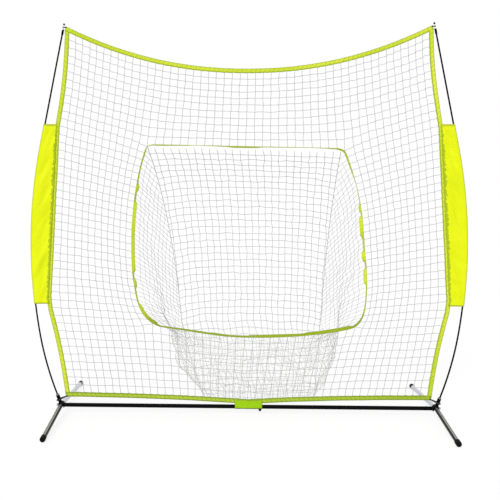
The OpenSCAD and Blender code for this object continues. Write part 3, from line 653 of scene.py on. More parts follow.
class Piece:
    # gathers rings of points and small closed forms into one mesh, with a metric map named run

    def __init__(self):
        self.points, self.faces, self.map = [], [], []
        self.count = 0

    def add(self, grid, ends=False, across=None):
        # a tube with one ring to a row of the grid, and across as the map's second axis
        rows, columns = grid.shape[:2]
        index = self.count + np.arange(rows * columns).reshape(rows, columns)
        turn = np.c_[index, index[:, :1]]
        quads = np.stack([turn[:-1, :-1], turn[:-1, 1:], turn[1:, 1:], turn[1:, :-1]], axis=-1)
        self.faces += quads.reshape(-1, 4).tolist()
        if across is None:
            across = reach(np.concatenate([grid, grid[:, :1]], axis=1).mean(axis=0))
        along = reach(grid.mean(axis=1))
        flat = np.stack(np.broadcast_arrays(along[:, None], across[None]), axis=-1)
        corners = np.stack([flat[:-1, :-1], flat[:-1, 1:], flat[1:, 1:], flat[1:, :-1]], axis=2)
        self.map.append(corners.reshape(-1, 2))
        if ends:
            for row, order in ((0, slice(None, None, -1)), (-1, slice(None))):
                self.faces.append(index[row][order].tolist())
                self.map.append(flat[row, :columns][order])
        self.points.append(grid.reshape(-1, 3))
        self.count += rows * columns

    def addMany(self, points, faces):
        # the same closed form at many places: points is (places, corners, 3)
        places, corners = points.shape[:2]
        for place in range(places):
            start = self.count + place * corners
            self.faces += [[start + corner for corner in face] for face in faces]
        loops = sum(len(face) for face in faces)
        self.map.append(np.zeros((places * loops, 2)))
        self.points.append(points.reshape(-1, 3))
        self.count += places * corners

    def build(self, name, material, replaced=()):
        mesh = bpy.data.meshes.new(name)
        mesh.from_pydata(np.concatenate(self.points).tolist(), [], self.faces)
        mesh.uv_layers.new(name="run")
        mesh.uv_layers["run"].data.foreach_set("uv", np.concatenate(self.map).ravel())
        mesh.polygons.foreach_set("use_smooth", [True] * len(mesh.polygons))
        mesh.materials.append(material)
        shell = bmesh.new()
        shell.from_mesh(mesh)
        bmesh.ops.recalc_face_normals(shell, faces=shell.faces)
        shell.to_mesh(mesh)
        shell.free()
        made = bpy.data.objects.new(name, mesh)
        scene.collection.objects.link(made)
        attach(made, "root")
        if replaced:
            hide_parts(*replaced)
        return made


def buildTube(name, material, replaced, grid, ends=True, across=None):
    piece = Piece()
    piece.add(grid, ends, across)
    return piece.build(name, material, replaced)


def sweep(path, profile, helper):
    # a profile's points, across and up, carried along a path
    tangent = unit(np.gradient(path, axis=0))
    side = unit(np.cross(tangent, helper))
    up = np.cross(side, tangent)
    profile = np.broadcast_to(profile, (len(path), *np.shape(profile)[-2:]))
    return path[:, None] + profile[..., :1] * side[:, None] + profile[..., 1:] * up[:, None]


def fullTurn(sides):
    return np.arange(sides) * 2 * math.pi / sides


def roundProfile(radius, sides):
    turn = fullTurn(sides)
    return radius * np.stack([np.cos(turn), np.sin(turn)], axis=1)


def outline(name):
    # closed loops round a CAD node's flat front, longest first
    mesh = nodes[name].data
    places, edges = {}, {}
    for face in mesh.polygons:
        if face.normal.y > -0.9:
            continue
        keys = []
        for vertex in face.vertices:
            spot = mesh.vertices[vertex].co
            key = (round(spot.x, 5), round(spot.z, 5))
            places[key] = (spot.x, spot.z)
            keys.append(key)
        for a, b in zip(keys, keys[1:] + keys[:1]):
            if (b, a) in edges:
                del edges[(b, a)]
            else:
                edges[(a, b)] = True
    following = dict(edges.keys())
    loops = []
    while following:
        start = next(iter(following))
        loop = [start]
        spot = following.pop(start)
        while spot != start:
            loop.append(spot)
            spot = following.pop(spot)
        loops.append(np.array([places[key] for key in loop]))
    return sorted(loops, key=lambda loop: -reach(loop)[-1])


def mitre(a, b):
    # where two bindings meet: the inner corner, then the outer one
    loop, mate = outline("binding_" + a)[0], outline("binding_" + b)[0]
    shared = [spot for spot in loop if np.abs(mate - spot).sum(axis=1).min() < 1e-4]
    return sorted(shared, key=lambda spot: np.linalg.norm(spot - (0, netMiddle)))


def placeIn(loop, spot):
    # the number of the loop's point nearest to a spot
    return int(np.abs(loop - spot).sum(axis=1).argmin())


def bandEdges(name, first, last):
    # the outer and inner edge of a binding, from its mitre with first to that with last
    loop = outline("binding_" + name)[0]
    innerStart, outerStart = mitre(name, first)
    innerEnd, outerEnd = mitre(name, last)
    if (placeIn(loop, outerStart) - placeIn(loop, innerStart)) % len(loop) == 1:
        loop = loop[::-1]
    loop = np.roll(loop, -placeIn(loop, innerStart), axis=0)
    inner = loop[:placeIn(loop, innerEnd) + 1]
    outer = loop[placeIn(loop, outerEnd):placeIn(loop, outerStart) + 1][::-1]
    return outer, inner


def inPlane(points, y=netPlane):
    # points across and up, stood in the net's plane
    return np.stack([points[:, 0], np.full(len(points), y), points[:, 1]], axis=1)


bandEnds = {"top": ("left", "right"), "bottom": ("left", "right"),
            "left": ("bottom", "top"), "right": ("bottom", "top")}
bands = {name: bandEdges(name, *ends) for name, ends in bandEnds.items()}

# the mouth's outline, drawn a little askew as the net pulls it

mouth = {
    "lean": 0.064, "level": 1.19, "topTilt": 0.013, "topDip": 0.012, "topRise": 0.007,
    "lowTilt": 0.004, "lowLift": 0.016, "liftAt": -0.42, "liftWidth": 0.2, "sideRise": 2.2,
    "round": 0.022, "step": 0.006,
    # how far each side is drawn aside at some heights
    "left": ((0.50, 0.0), (0.55, -0.022), (0.61, -0.038), (0.72, -0.029), (0.83, -0.022), (0.95, -0.010),
             (1.12, -0.003), (1.29, 0.002), (1.43, 0.007), (1.54, 0.019)),
    "right": ((0.50, 0.004), (0.58, 0.013), (0.66, 0.007), (0.77, -0.003), (0.95, -0.021), (1.06, -0.017),
              (1.17, -0.010), (1.30, -0.005), (1.5, 0.0)),
}


def pulled(points, s):
    # the mouth leans to the left at its top, its left top corner rides high, and its sides sag unevenly
    x, z = points[:, 0], points[:, -1]
    half = np.abs(x).max()
    high = np.clip((z - s["level"]) / (z.max() - s["level"]), -1, 1)
    out = points.copy()
    out[:, 0] += s["lean"] * (s["level"] - z)
    tilt = np.where(high > 0, -s["topTilt"] * x / half, s["lowTilt"] * x / half)
    dip = s["topDip"] * np.cos(np.clip(x / half, -1, 1) * math.pi) - s["topRise"]
    lift = s["lowLift"] * np.exp(-((x - s["liftAt"]) / s["liftWidth"]) ** 2)
    out[:, -1] += np.abs(high) * tilt - np.clip(high, 0, 1) * dip + np.clip(-high, 0, 1) * lift
    edge = np.clip(np.abs(x) / half * s["sideRise"] - 1, 0, 1)
    for side, key in sideNames.items():
        heights, shifts = zip(*s[key])
        out[:, 0] += np.where(x * side > 0, edge * np.interp(z, heights, shifts), 0)
    return out


def rounded(loop, radius, step):
    # a closed loop of points, with its corners eased
    even = resample(loop, round(reach(loop)[-1] / step) + 1)[:-1]
    offsets = np.arange(-round(3 * radius / step), round(3 * radius / step) + 1)
    weights = np.exp(-(offsets * step / radius) ** 2 / 2)
    eased = sum(weight * np.roll(even, shift, axis=0) for weight, shift in zip(weights, offsets))
    return eased / weights.sum()


def mouthLoop(s):
    # from the left top corner down the left side, along the bottom and up to the start
    loop = pulled(outline("opening_rim")[0], s)
    loop = rounded(np.vstack([loop, loop[:1]]), s["round"], s["step"])
    corner = placeIn(loop, min(loop, key=lambda spot: spot[0] - spot[1]))
    loop = np.roll(loop, -corner, axis=0)
    if loop[1][1] > loop[-1][1] or loop[3][0] > loop[-3][0]:  # it starts along the top instead
        loop = np.roll(loop[::-1], 1, axis=0)
    return np.vstack([loop, loop[:1]])


rimLine = mouthLoop(mouth)


def rimCorner(outward, upward):
    return placeIn(rimLine[:-1], max(rimLine, key=lambda spot: outward * spot[0] + upward * spot[1]))


def rimRun(first, last, count):
    # evenly spaced points along the rim between two of its corners
    line = rimLine[:-1]
    steps = (rimCorners[last] - rimCorners[first]) % len(line)
    return resample(np.roll(line, -rimCorners[first], axis=0)[:steps + 1], count)


lowPull = -1.6  # the low corners are rounder, and lie further down
rimCorners = {"topLeft": rimCorner(-1, 1), "lowLeft": rimCorner(-1, lowPull),
              "lowRight": rimCorner(1, lowPull), "topRight": rimCorner(1, 1)}


def slab(grid, thickness):
    # closed rings round a grid of points, cloth of that thickness, with the map's second axis
    along, over = np.gradient(grid, axis=0), np.gradient(grid, axis=1)
    normal = unit(np.cross(along, over))
    half = np.asarray(thickness).reshape(-1, 1, 1) / 2
    rings = np.concatenate([grid + normal * half, (grid - normal * half)[:, ::-1]], axis=1)
    v = reach(grid.mean(axis=0))
    return rings, np.r_[v, v[::-1], v[0]]


# the webbing that binds the net's edge

binding = {"thick": 0.0032, "width": 0.026, "step": 0.011, "sides": 20, "square": 0.35,
           "lap": 0.010, "lapThick": 0.0044, "lapRun": 0.03, "mesh": 0.0415, "pull": 0.0009,
           "wave": 0.0016, "waves": 3.0, "ends": 0.05, "crease": 0.0007, "creaseEvery": 0.083, "slant": 0.4}
stitch = {"pitch": 0.0085, "length": 0.0052, "width": 0.0011, "rise": 0.0005, "edge": 0.0032,
          "start": 0.02}


class Band:
    # one length of webbing between its two mitred ends

    def __init__(self, name, s, seed):
        outer, inner = bands[name]
        count = round(max(reach(outer)[-1], reach(inner)[-1]) / s["step"]) + 1
        outer, inner = resample(outer, count), resample(inner, count)
        middle = (outer + inner) / 2
        inward = unit(inner - outer)
        self.along = reach(middle)
        length = self.along[-1]
        ease = np.minimum(1, np.minimum(self.along, length - self.along) / s["ends"])
        tangent = unit(np.gradient(middle, axis=0))
        square = np.stack([-tangent[:, 1], tangent[:, 0]], axis=1)
        square *= np.sign((square * inward).sum(axis=1, keepdims=True))
        if name in ("top", "bottom"):  # these lap over the side lengths at the corners
            ends = (0, s["lapRun"], length - s["lapRun"], length)
            middle += tangent * np.interp(self.along, ends, (-s["lap"], 0, 0, s["lap"]))[:, None]
            s = {**s, "thick": s["lapThick"]}
        pull = s["pull"] * ease * np.cos(2 * math.pi * self.along / s["mesh"])
        self.outer = middle - square * s["width"] / 2
        self.inner = middle + square * s["width"] / 2 - inward * pull[:, None]
        self.width = np.median(np.linalg.norm(self.inner - self.outer, axis=1))
        flutter = smoothNoise(np.c_[self.along, np.zeros(count)], s["waves"], seed)
        self.wave = flutter * s["wave"] * ease
        self.s = s

    def at(self, along, share, side):
        # a point on the webbing: share runs from its outer edge to its inner one
        outer, inner = (pointAt(line, self.along, along) for line in (self.outer, self.inner))
        flat = outer + (inner - outer) * share
        phase = along / self.s["creaseEvery"] + self.s["slant"] * share
        crease = self.s["crease"] * (1 - 2 * np.abs(np.sin(math.pi * phase)) ** self.s["square"])
        y = netPlane + np.interp(along, self.along, self.wave) + side * self.s["thick"] / 2
        return np.stack([flat[:, 0], y - np.sign(side) * crease, flat[:, 1]], axis=-1)

    def rings(self):
        turn = fullTurn(self.s["sides"])
        share = 0.5 - 0.5 * boxy(np.cos(turn), self.s["square"])
        side = boxy(np.sin(turn), self.s["square"])
        side[np.abs(np.sin(turn)) < 1e-6] = 0  # the very edges, between the two faces
        grid = np.stack([self.at(self.along, a, b) for a, b in zip(share, side)], axis=1)
        v = share * self.width
        return grid, np.r_[v, v[0]]


def addStitches(piece, band, s, share, side):
    # a row of thread ends lies on the webbing
    along = np.arange(s["start"], band.along[-1] - s["start"], s["pitch"])
    middle = band.at(along, share, side)
    tangent = unit(band.at(along + s["length"] / 2, share, side) - middle)
    up = np.array([0, side, 0])
    over = unit(np.cross(tangent, up))
    half, wide = s["length"] / 2, s["width"] / 2
    spots = []
    for a, b, c in ((-1, -1, -1), (1, -1, -1), (1, 1, -1), (-1, 1, -1),
                    (-0.7, -0.5, 1), (0.7, -0.5, 1), (0.7, 0.5, 1), (-0.7, 0.5, 1)):
        spots.append(middle + tangent * a * half + over * b * wide + up * c * s["rise"])
    faces = [(0, 1, 5, 4), (1, 2, 6, 5), (2, 3, 7, 6), (3, 0, 4, 7), (4, 5, 6, 7), (3, 2, 1, 0)]
    piece.addMany(np.stack(spots, axis=1), faces)


sewn = {}  # the finished bands, for what is sewn to them


def buildBindings(s, thread):
    stitches = Piece()
    for place, name in enumerate(bands):
        band = Band(name, s, 60 + place)
        sewn[name] = band
        rings, across = band.rings()
        look = looks["webbingShaded" if name == "bottom" else "webbing"]
        buildTube("binding" + name.capitalize(), look, ["binding_" + name], rings,
                  across=across)
        inset = thread["edge"] / band.width
        for share in (inset, 1 - inset):
            for side in (-1, 1):
                addStitches(stitches, band, thread, share, side)
    stitches.build("bindingStitches", looks["thread"])


buildBindings(binding, stitch)
print("bindings sewn")

# the mouth's webbing rim stands edge on, and twists to face the thrower in places

rim = {
    "width": 0.0215, "thick": 0.003, "step": 0.009, "sides": 12, "square": (0.4, 0.5), "proud": 0.001,
    "lie": 15, "flutter": 9, "flutters": 2.2, "ramp": 0.03, "close": 0.05,
    # stretches of the rim: from and to in metres from its left top corner, and degrees of twist
    "twists": ((0.225, 0.262, 40), (0.33, 0.73, 50), (0.775, 0.822, 35), (0.93, 1.08, 42), (1.1, 1.4, -6),
               (1.4, 1.62, 6), (1.62, 1.94, 18), (1.94, 2.2, 36), (2.49, 2.57, 52), (2.62, 2.67, 58),
               (2.76, 2.87, 62), (2.9, 2.94, 30), (3.02, 3.27, -10), (3.3, 3.74, -9), (3.76, 3.9, 4),
               (3.92, 4.14, -9)),
}


def ramped(along, start, end, ramp):
    # 1 between start and end, with a soft step at both
    rise = np.clip((along - start) / ramp + 0.5, 0, 1)
    fall = np.clip((end - along) / ramp + 0.5, 0, 1)
    return rise ** 2 * (3 - 2 * rise) * fall ** 2 * (3 - 2 * fall)


class Rim:
    # the webbing round the mouth, from its front edge to its back one

    def __init__(self, s):
        line = resample(rimLine, round(reach(rimLine)[-1] / s["step"]) + 1)
        self.along = reach(line)
        tangent = unit(np.gradient(np.vstack([line[-2:-1], line, line[1:2]]), axis=0)[1:-1])
        outward = np.stack([tangent[:, 1], -tangent[:, 0]], axis=1)
        if (outward[0] * (line[0] - line.mean(axis=0))).sum() < 0:
            outward = -outward
        flutter = smoothNoise(np.c_[self.along, np.zeros(len(line))], s["flutters"], 31)
        degrees = s["lie"] + s["flutter"] * flutter
        for start, end, amount in s["twists"]:
            degrees += amount * ramped(self.along, start, end, s["ramp"])
        closing = np.clip(np.minimum(self.along, self.along[-1] - self.along) / s["close"], 0, 1)
        turn = np.radians(degrees * closing)[:, None]
        self.front = inPlane(line, netPlane - s["proud"])
        self.way = np.cos(turn) * np.array([0, 1.0, 0]) - np.sin(turn) * inPlane(outward, 0)
        self.face = unit(np.cross(inPlane(tangent, 0), self.way))
        self.back = self.front + self.way * s["width"]
        self.s = s

    def rings(self):
        turn = fullTurn(self.s["sides"])
        across = (0.5 - 0.5 * boxy(np.cos(turn), self.s["square"][0])) * self.s["width"]
        side = boxy(np.sin(turn), self.s["square"][1]) * self.s["thick"] / 2
        grid = self.front[:, None] + self.way[:, None] * across[:, None]
        return grid + self.face[:, None] * side[:, None], np.r_[across, across[0]]


rimBand = Rim(rim)
rings, across = rimBand.rings()
buildTube("mouthRim", looks["rim"], ["opening_rim"], rings, ends=False, across=across)
print("mouth's rim sewn")

# the front net: an even lattice, let go until every knot balances

lattice = {"columns": 48, "rows": 46, "mouthColumns": (12, 36), "mouthRows": (9, 35),
           "strand": 0.0033, "knot": 0.0027, "sides": 6, "jitter": (0.0012, 0.0008, 0.0012), "bow": 0.0013,
           "step": {0: 0.15, 2: 0.5}, "stepAt": 0.22, "billow": 0.010}


def frontLattice(s):
    rows, columns = s["rows"], s["columns"]
    grid = np.full((rows + 1, columns + 1, 2), np.nan)
    grid[0] = resample(bands["bottom"][1], columns + 1)
    grid[-1] = resample(bands["top"][1], columns + 1)
    grid[:, 0] = resample(bands["left"][1], rows + 1)
    grid[:, -1] = resample(bands["right"][1], rows + 1)
    (c0, c1), (r0, r1) = s["mouthColumns"], s["mouthRows"]
    grid[r0:r1 + 1, c0] = rimRun("topLeft", "lowLeft", r1 - r0 + 1)[::-1]
    grid[r0, c0:c1 + 1] = rimRun("lowLeft", "lowRight", c1 - c0 + 1)
    grid[r0:r1 + 1, c1] = rimRun("lowRight", "topRight", r1 - r0 + 1)
    grid[r1, c0:c1 + 1] = rimRun("topRight", "topLeft", c1 - c0 + 1)[::-1]
    inside = np.zeros(grid.shape[:2], bool)
    inside[r0 + 1:r1, c0 + 1:c1] = True
    free = np.isnan(grid[..., 0]) & ~inside
    index = np.full(free.shape, -1)
    index[free] = np.arange(free.sum())
    matrix = 4 * np.eye(free.sum())
    pull = np.zeros((free.sum(), 2))
    for r, c in np.argwhere(free):
        for near in ((r + 1, c), (r - 1, c), (r, c + 1), (r, c - 1)):
            if free[near]:
                matrix[index[r, c], index[near]] -= 1
            else:
                pull[index[r, c]] += grid[near]
    grid[free] = np.linalg.solve(matrix, pull)
    return grid, free


def strandPath(knots, bow, seed):
    # between knots a strand bows a little, to one side and then the other
    random = np.random.RandomState(seed)
    middles = (knots[1:] + knots[:-1]) / 2
    across = unit(np.cross(knots[1:] - knots[:-1], (0, 1, 0)))
    middles += across * random.uniform(-bow, bow, (len(middles), 1))
    path = np.empty((2 * len(knots) - 1, 3))
    path[::2], path[1::2] = knots, middles
    return path


def steppedPath(knots, s, axis, seed):
    # between knots a strand runs nearly level or plumb, and it steps aside at each knot
    random = np.random.RandomState(seed)
    gap = knots[1:] - knots[:-1]
    bow = random.uniform(-s["bow"], s["bow"], len(gap))
    path = np.repeat(knots, 3, axis=0)[:-2]
    for place, share in ((1, s["stepAt"]), (2, 1 - s["stepAt"])):
        path[place::3] = knots[:-1] + gap * share
        path[place::3, axis] += gap[:, axis] * (0.5 - share) * s["step"][axis] + bow
    return path


def knotForm():
    # eight-cornered bead, drawn out across the strands
    ring = [(1, 0), (0.7, 0.7), (0, 1), (-0.7, 0.7), (-1, 0), (-0.7, -0.7), (0, -1), (0.7, -0.7)]
    points = [(size * x, y * 0.9, size * z) for y, size in ((-1, 0.45), (-0.4, 1), (0.4, 1), (1, 0.45))
              for x, z in ring]
    faces = [[level * 8 + k, level * 8 + (k + 1) % 8, level * 8 + 8 + (k + 1) % 8, level * 8 + 8 + k]
             for level in range(3) for k in range(8)]
    faces += [list(range(7, -1, -1)), list(range(24, 32))]
    return np.array(points), faces


def addKnots(piece, places, size, seed, spread=(0.85, 1.15)):
    random = np.random.RandomState(seed)
    form, faces = knotForm()
    grown = size * random.uniform(*spread, (len(places), 1, 1))
    piece.addMany(places[:, None] + form[None] * grown, faces)


def addStrand(piece, path, s, helper):
    piece.add(sweep(path, roundProfile(s["strand"] / 2, s["sides"]), helper), ends=True)


def buildFrontNet(s):
    flat, free = frontLattice(s)
    rows, columns = free.shape
    random = np.random.RandomState(5)
    grid = np.stack([flat[..., 0], np.full(free.shape, netPlane), flat[..., 1]], axis=-1)
    v, u = np.meshgrid(np.linspace(0, math.pi, rows), np.linspace(0, math.pi, columns), indexing="ij")
    grid[..., 1] += np.where(free, s["billow"] * np.sin(u) * np.sin(v), 0)
    grid[free] += random.normal(0, s["jitter"], (free.sum(), 3))
    piece = Piece()
    ways = ((grid, 2, s["mouthRows"], s["mouthColumns"], 100),
            (grid.swapaxes(0, 1), 0, s["mouthColumns"], s["mouthRows"], 300))
    for lines, axis, beside, across, seed in ways:
        for k in range(1, len(lines) - 1):
            end = lines.shape[1] - 1
            spans = [(0, end)]
            if beside[0] <= k <= beside[1]:  # the mouth parts this line in two
                spans = [(0, across[0]), (across[1], end)]
            for a, b in spans:
                addStrand(piece, steppedPath(lines[k, a:b + 1], s, axis, seed + k), s, (0, 1, 0))
    addKnots(piece, grid[free], s["knot"], 7)
    piece.build("frontNet", looks["netting"],
                ["front_net_top", "front_net_bottom", "front_net_left", "front_net_right"])


buildFrontNet(lattice)
print("front net laced")

# the catch pocket

pocket = {
    "pitch": 0.0435, "fan": 0.6, "hang": 0.006, "deepHalf": {-1: 0.45, 1: 0.415}, "deepAt": 0.43,
    "shoulder": 0.82, "shoulderAt": 0.64, "shoulderIn": {-1: 0.085, 1: 0.05}, "heel": 0.40, "heelAt": 0.3,
    "upperShare": 0.7, "dip": 0.035, "dipWidth": 0.12, "belly": 0.02, "fadeTop": 0.15, "fadeLow": 0.3,
    "strand": 0.0033, "knot": 0.0026, "seamStrand": 0.0042, "sides": 6, "jitter": 0.0022, "bow": 0.0016,
    "crumple": 0.018, "crumpleScale": 5.5, "crumpleTop": 0.62, "crumpleFade": (0.3, 0.05), "folds": 40,
    "crumpleShares": {1: 1.0, 2: 0.5, 0: 0.6},  # along y, z and x
    "seamEvery": 6,  # points of a crease to one of its seam's cord
}
backBox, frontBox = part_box("pocket_back"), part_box("pocket_front")
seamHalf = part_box("pocket_right")[0].x


def onBend(a, b, c, t):
    # a bend from a to c that is drawn towards b
    t = t[:, None]
    return (1 - t) ** 2 * a + 2 * t * (1 - t) * b + t * t * c


def creaseLine(s, side, count=400):
    # where the pocket's side meets its back, from the mouth's top corner to the bottom seam
    hem = backBox[0].y
    depth = backBox[1].y - hem
    topZ = rimLine[rimCorners["topLeft" if side < 0 else "topRight"], 1] - s["hang"]
    top = np.array([backBox[1].x, hem, topZ])
    deep = np.array([s["deepHalf"][side], hem + depth, s["deepAt"]])
    shoulder = np.array([top[0] - s["shoulderIn"][side], hem + s["shoulder"] * depth,
                         s["shoulderAt"] * topZ + (1 - s["shoulderAt"]) * s["deepAt"]])
    heel = np.array([s["heel"], hem + depth, s["heelAt"] * s["deepAt"]])
    end = np.array([seamHalf, frontBox[1].y, frontBox[0].z])
    t = np.linspace(0, 1, count)
    upper = onBend(top, shoulder, deep, t[t < s["upperShare"]] / s["upperShare"])
    lower = onBend(deep, heel, end, (t[t >= s["upperShare"]] - s["upperShare"]) / (1 - s["upperShare"]))
    line = np.vstack([upper, lower])
    line[:, 0] = side * line[:, 0] + mouth["lean"] * (mouth["level"] - line[:, 2])
    return resample(line, count)


creases = {side: creaseLine(pocket, side) for side in sideNames}


def crumpled(points, s):
    # the lower pocket hangs slack, so it crumples more the lower it is
    points = np.array(points)
    out, height = points.copy(), points[:, 2]
    loose = np.clip((s["crumpleTop"] - height) / s["crumpleFade"][0], 0, 1)
    low = np.clip((height - backBox[0].z) / s["crumpleFade"][1], 0, 1)
    for axis, amount in s["crumpleShares"].items():
        wave = smoothNoise(points, s["crumpleScale"], s["folds"] + axis)
        out[:, axis] += s["crumple"] * amount * loose * low * wave
    out[:, 2] = np.maximum(out[:, 2], backBox[0].z)
    return out


def lace(piece, points, s, seed, helper):
    addStrand(piece, strandPath(crumpled(points, s), s["bow"], seed), s, helper)


def backPoint(s, a, share):
    # a runs from -1 to 1 across, share from 0 at the top to 1 at the bottom seam
    left, right = lineAt(creases[-1], share), lineAt(creases[1], share)
    point = left + (right - left) * (a + 1) / 2
    off = (1 - abs(a)) * (right[0] - left[0]) / 2
    fade = min(share / s["fadeTop"], 1) * min((1 - share) / s["fadeLow"], 1)
    point[2] += s["dip"] * fade * (1 - math.exp(-off / s["dipWidth"]))
    point[1] += s["belly"] * fade * (1 - a * a)
    return point


def buildBack(s):
    topWidth = creases[1][0, 0] - creases[-1][0, 0]
    rows = round(reach(creases[1])[-1] / s["pitch"])
    columns = round(topWidth / s["pitch"])
    shares = np.arange(rows + 1) / rows
    widths = lineAt(creases[1], shares)[:, 0] - lineAt(creases[-1], shares)[:, 0]
    squeeze = (widths / topWidth) ** (s["fan"] - 1)
    random = np.random.RandomState(11)
    jitter = random.normal(0, s["jitter"], (rows + 1, columns + 1, 3))
    across = np.linspace(-1, 1, columns + 1)[:, None] * squeeze  # a of each column's strand in each row

    def laced(row, column):
        return backPoint(s, across[column, row], shares[row]) + jitter[row, column]

    piece = Piece()
    knots = []
    for column in range(1, columns):
        path = []
        for row in range(rows + 1):
            a = across[column, row]
            if abs(a) >= 1:  # here the strand meets the seam
                path.append(backPoint(s, math.copysign(1, a), shares[row]))
                break
            path.append(laced(row, column))
            if 0 < row < rows:
                knots.append(path[-1])
        lace(piece, path, s, 500 + column, (1, 0, 0))
    for row in range(1, rows + 1):
        inner = [laced(row, column) for column in range(1, columns) if abs(across[column, row]) < 1]
        path = [backPoint(s, -1, shares[row]), *inner, backPoint(s, 1, shares[row])]
        lace(piece, path, s, 600 + row, (0, 1, 0))
    addKnots(piece, crumpled(knots, s), s["knot"], 13)
    for side in sideNames:
        seam = crumpled(creases[side][::s["seamEvery"]], s)
        addStrand(piece, seam, {**s, "strand": s["seamStrand"]}, (1, 0, 0))
    piece.build("pocketBack", looks["backNetting"], ["pocket_back"])


skirt = {
    **pocket, "strand": 0.0022, "knot": 0.0018, "crumple": 0.022, "folds": 70, "fullness": 2.1,
    "sideFullness": 1.7, "fullFrom": (0.28, 0.36), "bulge": 0.07, "bulgeRound": 0.8,
    "bulgeBelow": (0.43, 0.2),
    "tuck": 0.055, "tuckAt": 0.33, "tuckWidth": 0.1, "tuckSteep": 1.7, "evenUnder": 0.1, "spare": 0.3,
    "mouthPoints": 600, "seamPoints": 150,
    # how far along the mouth, and along the seams below it, some strands are tied
    "tiedAtMouth": (0, 0.055, 0.16, 0.31, 0.36, 0.5), "tiedAtSeams": (0, 0.095, 0.215, 0.335, 0.385, 0.5),
}


def skirtEdges(s, w):
    # the mouth's edge and the seams that face it, from one top corner round to the other
    length = reach(rimLine)[rimCorners["topRight"]]
    mouthEdge = pointAt(rimBand.back, rimBand.along, np.linspace(0, length, s["mouthPoints"]))
    seam = resample(np.array([creases[-1][-1], creases[1][-1]]), s["seamPoints"])
    whole = np.vstack([creases[-1], seam[1:-1], creases[1][::-1]])
    tied = np.interp(np.minimum(w, 1 - w), s["tiedAtMouth"], s["tiedAtSeams"])
    whole = resample(whole, 2 * s["mouthPoints"])
    return lineAt(mouthEdge, w), lineAt(whole, np.where(w <= 0.5, tied, 1 - tied))


def gatheredPlaces(s, length):
    # where the strands leave the mouth's edge: close together along its lower side
    w = np.linspace(0, 1, 400)
    dense = np.interp(np.minimum(w, 1 - w), s["fullFrom"], (s["sideFullness"], s["fullness"]))
    total = np.r_[0, np.cumsum((dense[1:] + dense[:-1]) / 2)] / (len(w) - 1)
    count = round(length / s["pitch"] * total[-1]) + 1
    return np.interp(np.linspace(0, total[-1], count), total, w)


def buildSkirt(s):
    # the pocket's sides and front: strands run from the mouth down to the seams
    w = gatheredPlaces(s, reach(rimRun("topLeft", "topRight", s["mouthPoints"]))[-1])
    top, low = skirtEdges(s, w)
    span = np.linalg.norm(low - top, axis=1)
    levels = int(span.max() / s["pitch"]) + 1
    jitter = np.random.RandomState(17).normal(0, s["jitter"], (len(w), levels + 1, 3))
    tuck = s["tuck"] * np.exp(-((np.minimum(w, 1 - w) - s["tuckAt"]) / s["tuckWidth"]) ** 2)
    away = np.where(w < 0.5, -1.0, 1.0) * np.clip(np.abs(w - 0.5) / s["evenUnder"], 0, 1)

    def skirtPoint(k, distance):
        share = min(distance / max(span[k], 1e-6), 1)
        point = top[k] + (low[k] - top[k]) * share
        slack = np.clip((s["bulgeBelow"][0] - point[2]) / s["bulgeBelow"][1], 0, 1)
        bulge = s["bulge"] * slack * math.sin(math.pi * share) ** s["bulgeRound"]
        drawn = tuck[k] * math.sin(math.pi * min(share * s["tuckSteep"], 1))
        return point + np.array([away[k] * (bulge - drawn), 0, 0])

    def laced(k, level):
        return skirtPoint(k, level * s["pitch"]) + jitter[k, level]

    # which strands reach each level's knots, with a share of a cell to spare
    knotted = np.arange(levels + 1) * s["pitch"] < span[:, None] - s["spare"] * s["pitch"]
    piece = Piece()
    knots = []
    for k in range(1, len(w) - 1):
        inner = [laced(k, level) for level in range(1, levels + 1) if knotted[k, level]]
        knots += inner
        path = [skirtPoint(k, 0), *inner, skirtPoint(k, span[k])]
        lace(piece, path, s, 800 + k, (1, 0, 0))
    for level in range(1, levels + 1):
        crossed = np.flatnonzero(knotted[:, level])
        for run in np.split(crossed, np.flatnonzero(np.diff(crossed) > 1) + 1):
            if len(run) > 1:
                lace(piece, [laced(k, level) for k in run], s, 900 + level, (0, 1, 0.01))
    addKnots(piece, crumpled(knots, s), s["knot"], 19)
    piece.build("pocketSkirt", looks["skirtNetting"],
                ["pocket_left", "pocket_right", "pocket_front"])


buildBack(pocket)
buildSkirt(skirt)
print("pocket laced")

# the side sleeves: cloth that runs round each pole and back to the net's edge

sleeve = {"cloth": 0.0007, "clear": 0.0017, "hem": 0.00765, "rows": 96, "layer": 12, "turn": 7,
          "fold": 0.022, "foldCloth": 0.0017, "lap": 0.008, "scallop": 0.0022, "scallopEvery": 0.083,
          "open": 1.6, "ends": 0.03, "endShare": 0.35, "flat": (0.235, 1.04), "wrinkle": 0.00425,
          "wrinkleRound": 0.7, "fineShare": 0.6,
          # wrinkles slant across the cloth: how many of each kind go across it, and to a metre of it
          "slant": (0.9, 0.16), "broad": (1.0, 4.5), "fine": (1.6, 12.0)}
poleParts = ("pole_lower_", "pole_middle_", "pole_upper_")


def poleMiddle(side, z, far=3.0):
    # the pole's centre at a height, found by looking through its rods from both sides
    hits = []
    for name in poleParts:
        rodNode = nodes[name + sideNames[side]]
        toLocal = rodNode.matrix_world.inverted()
        for start in (-far, far):
            spot = toLocal @ Vector((start, netPlane, z))
            way = toLocal.to_3x3() @ Vector((-start, 0, 0))
            found, place, _, _ = rodNode.ray_cast(spot, way.normalized())
            if found:
                hits.append((rodNode.matrix_world @ place).x)
    return (min(hits) + max(hits)) / 2 if hits else None


def poleLine(side, low, high, count):
    heights = np.linspace(low, high, count)
    found = [(z, poleMiddle(side, z)) for z in heights]
    known = np.array([(z, x) for z, x in found if x is not None])
    return np.interp(heights, known[:, 0], known[:, 1]), heights


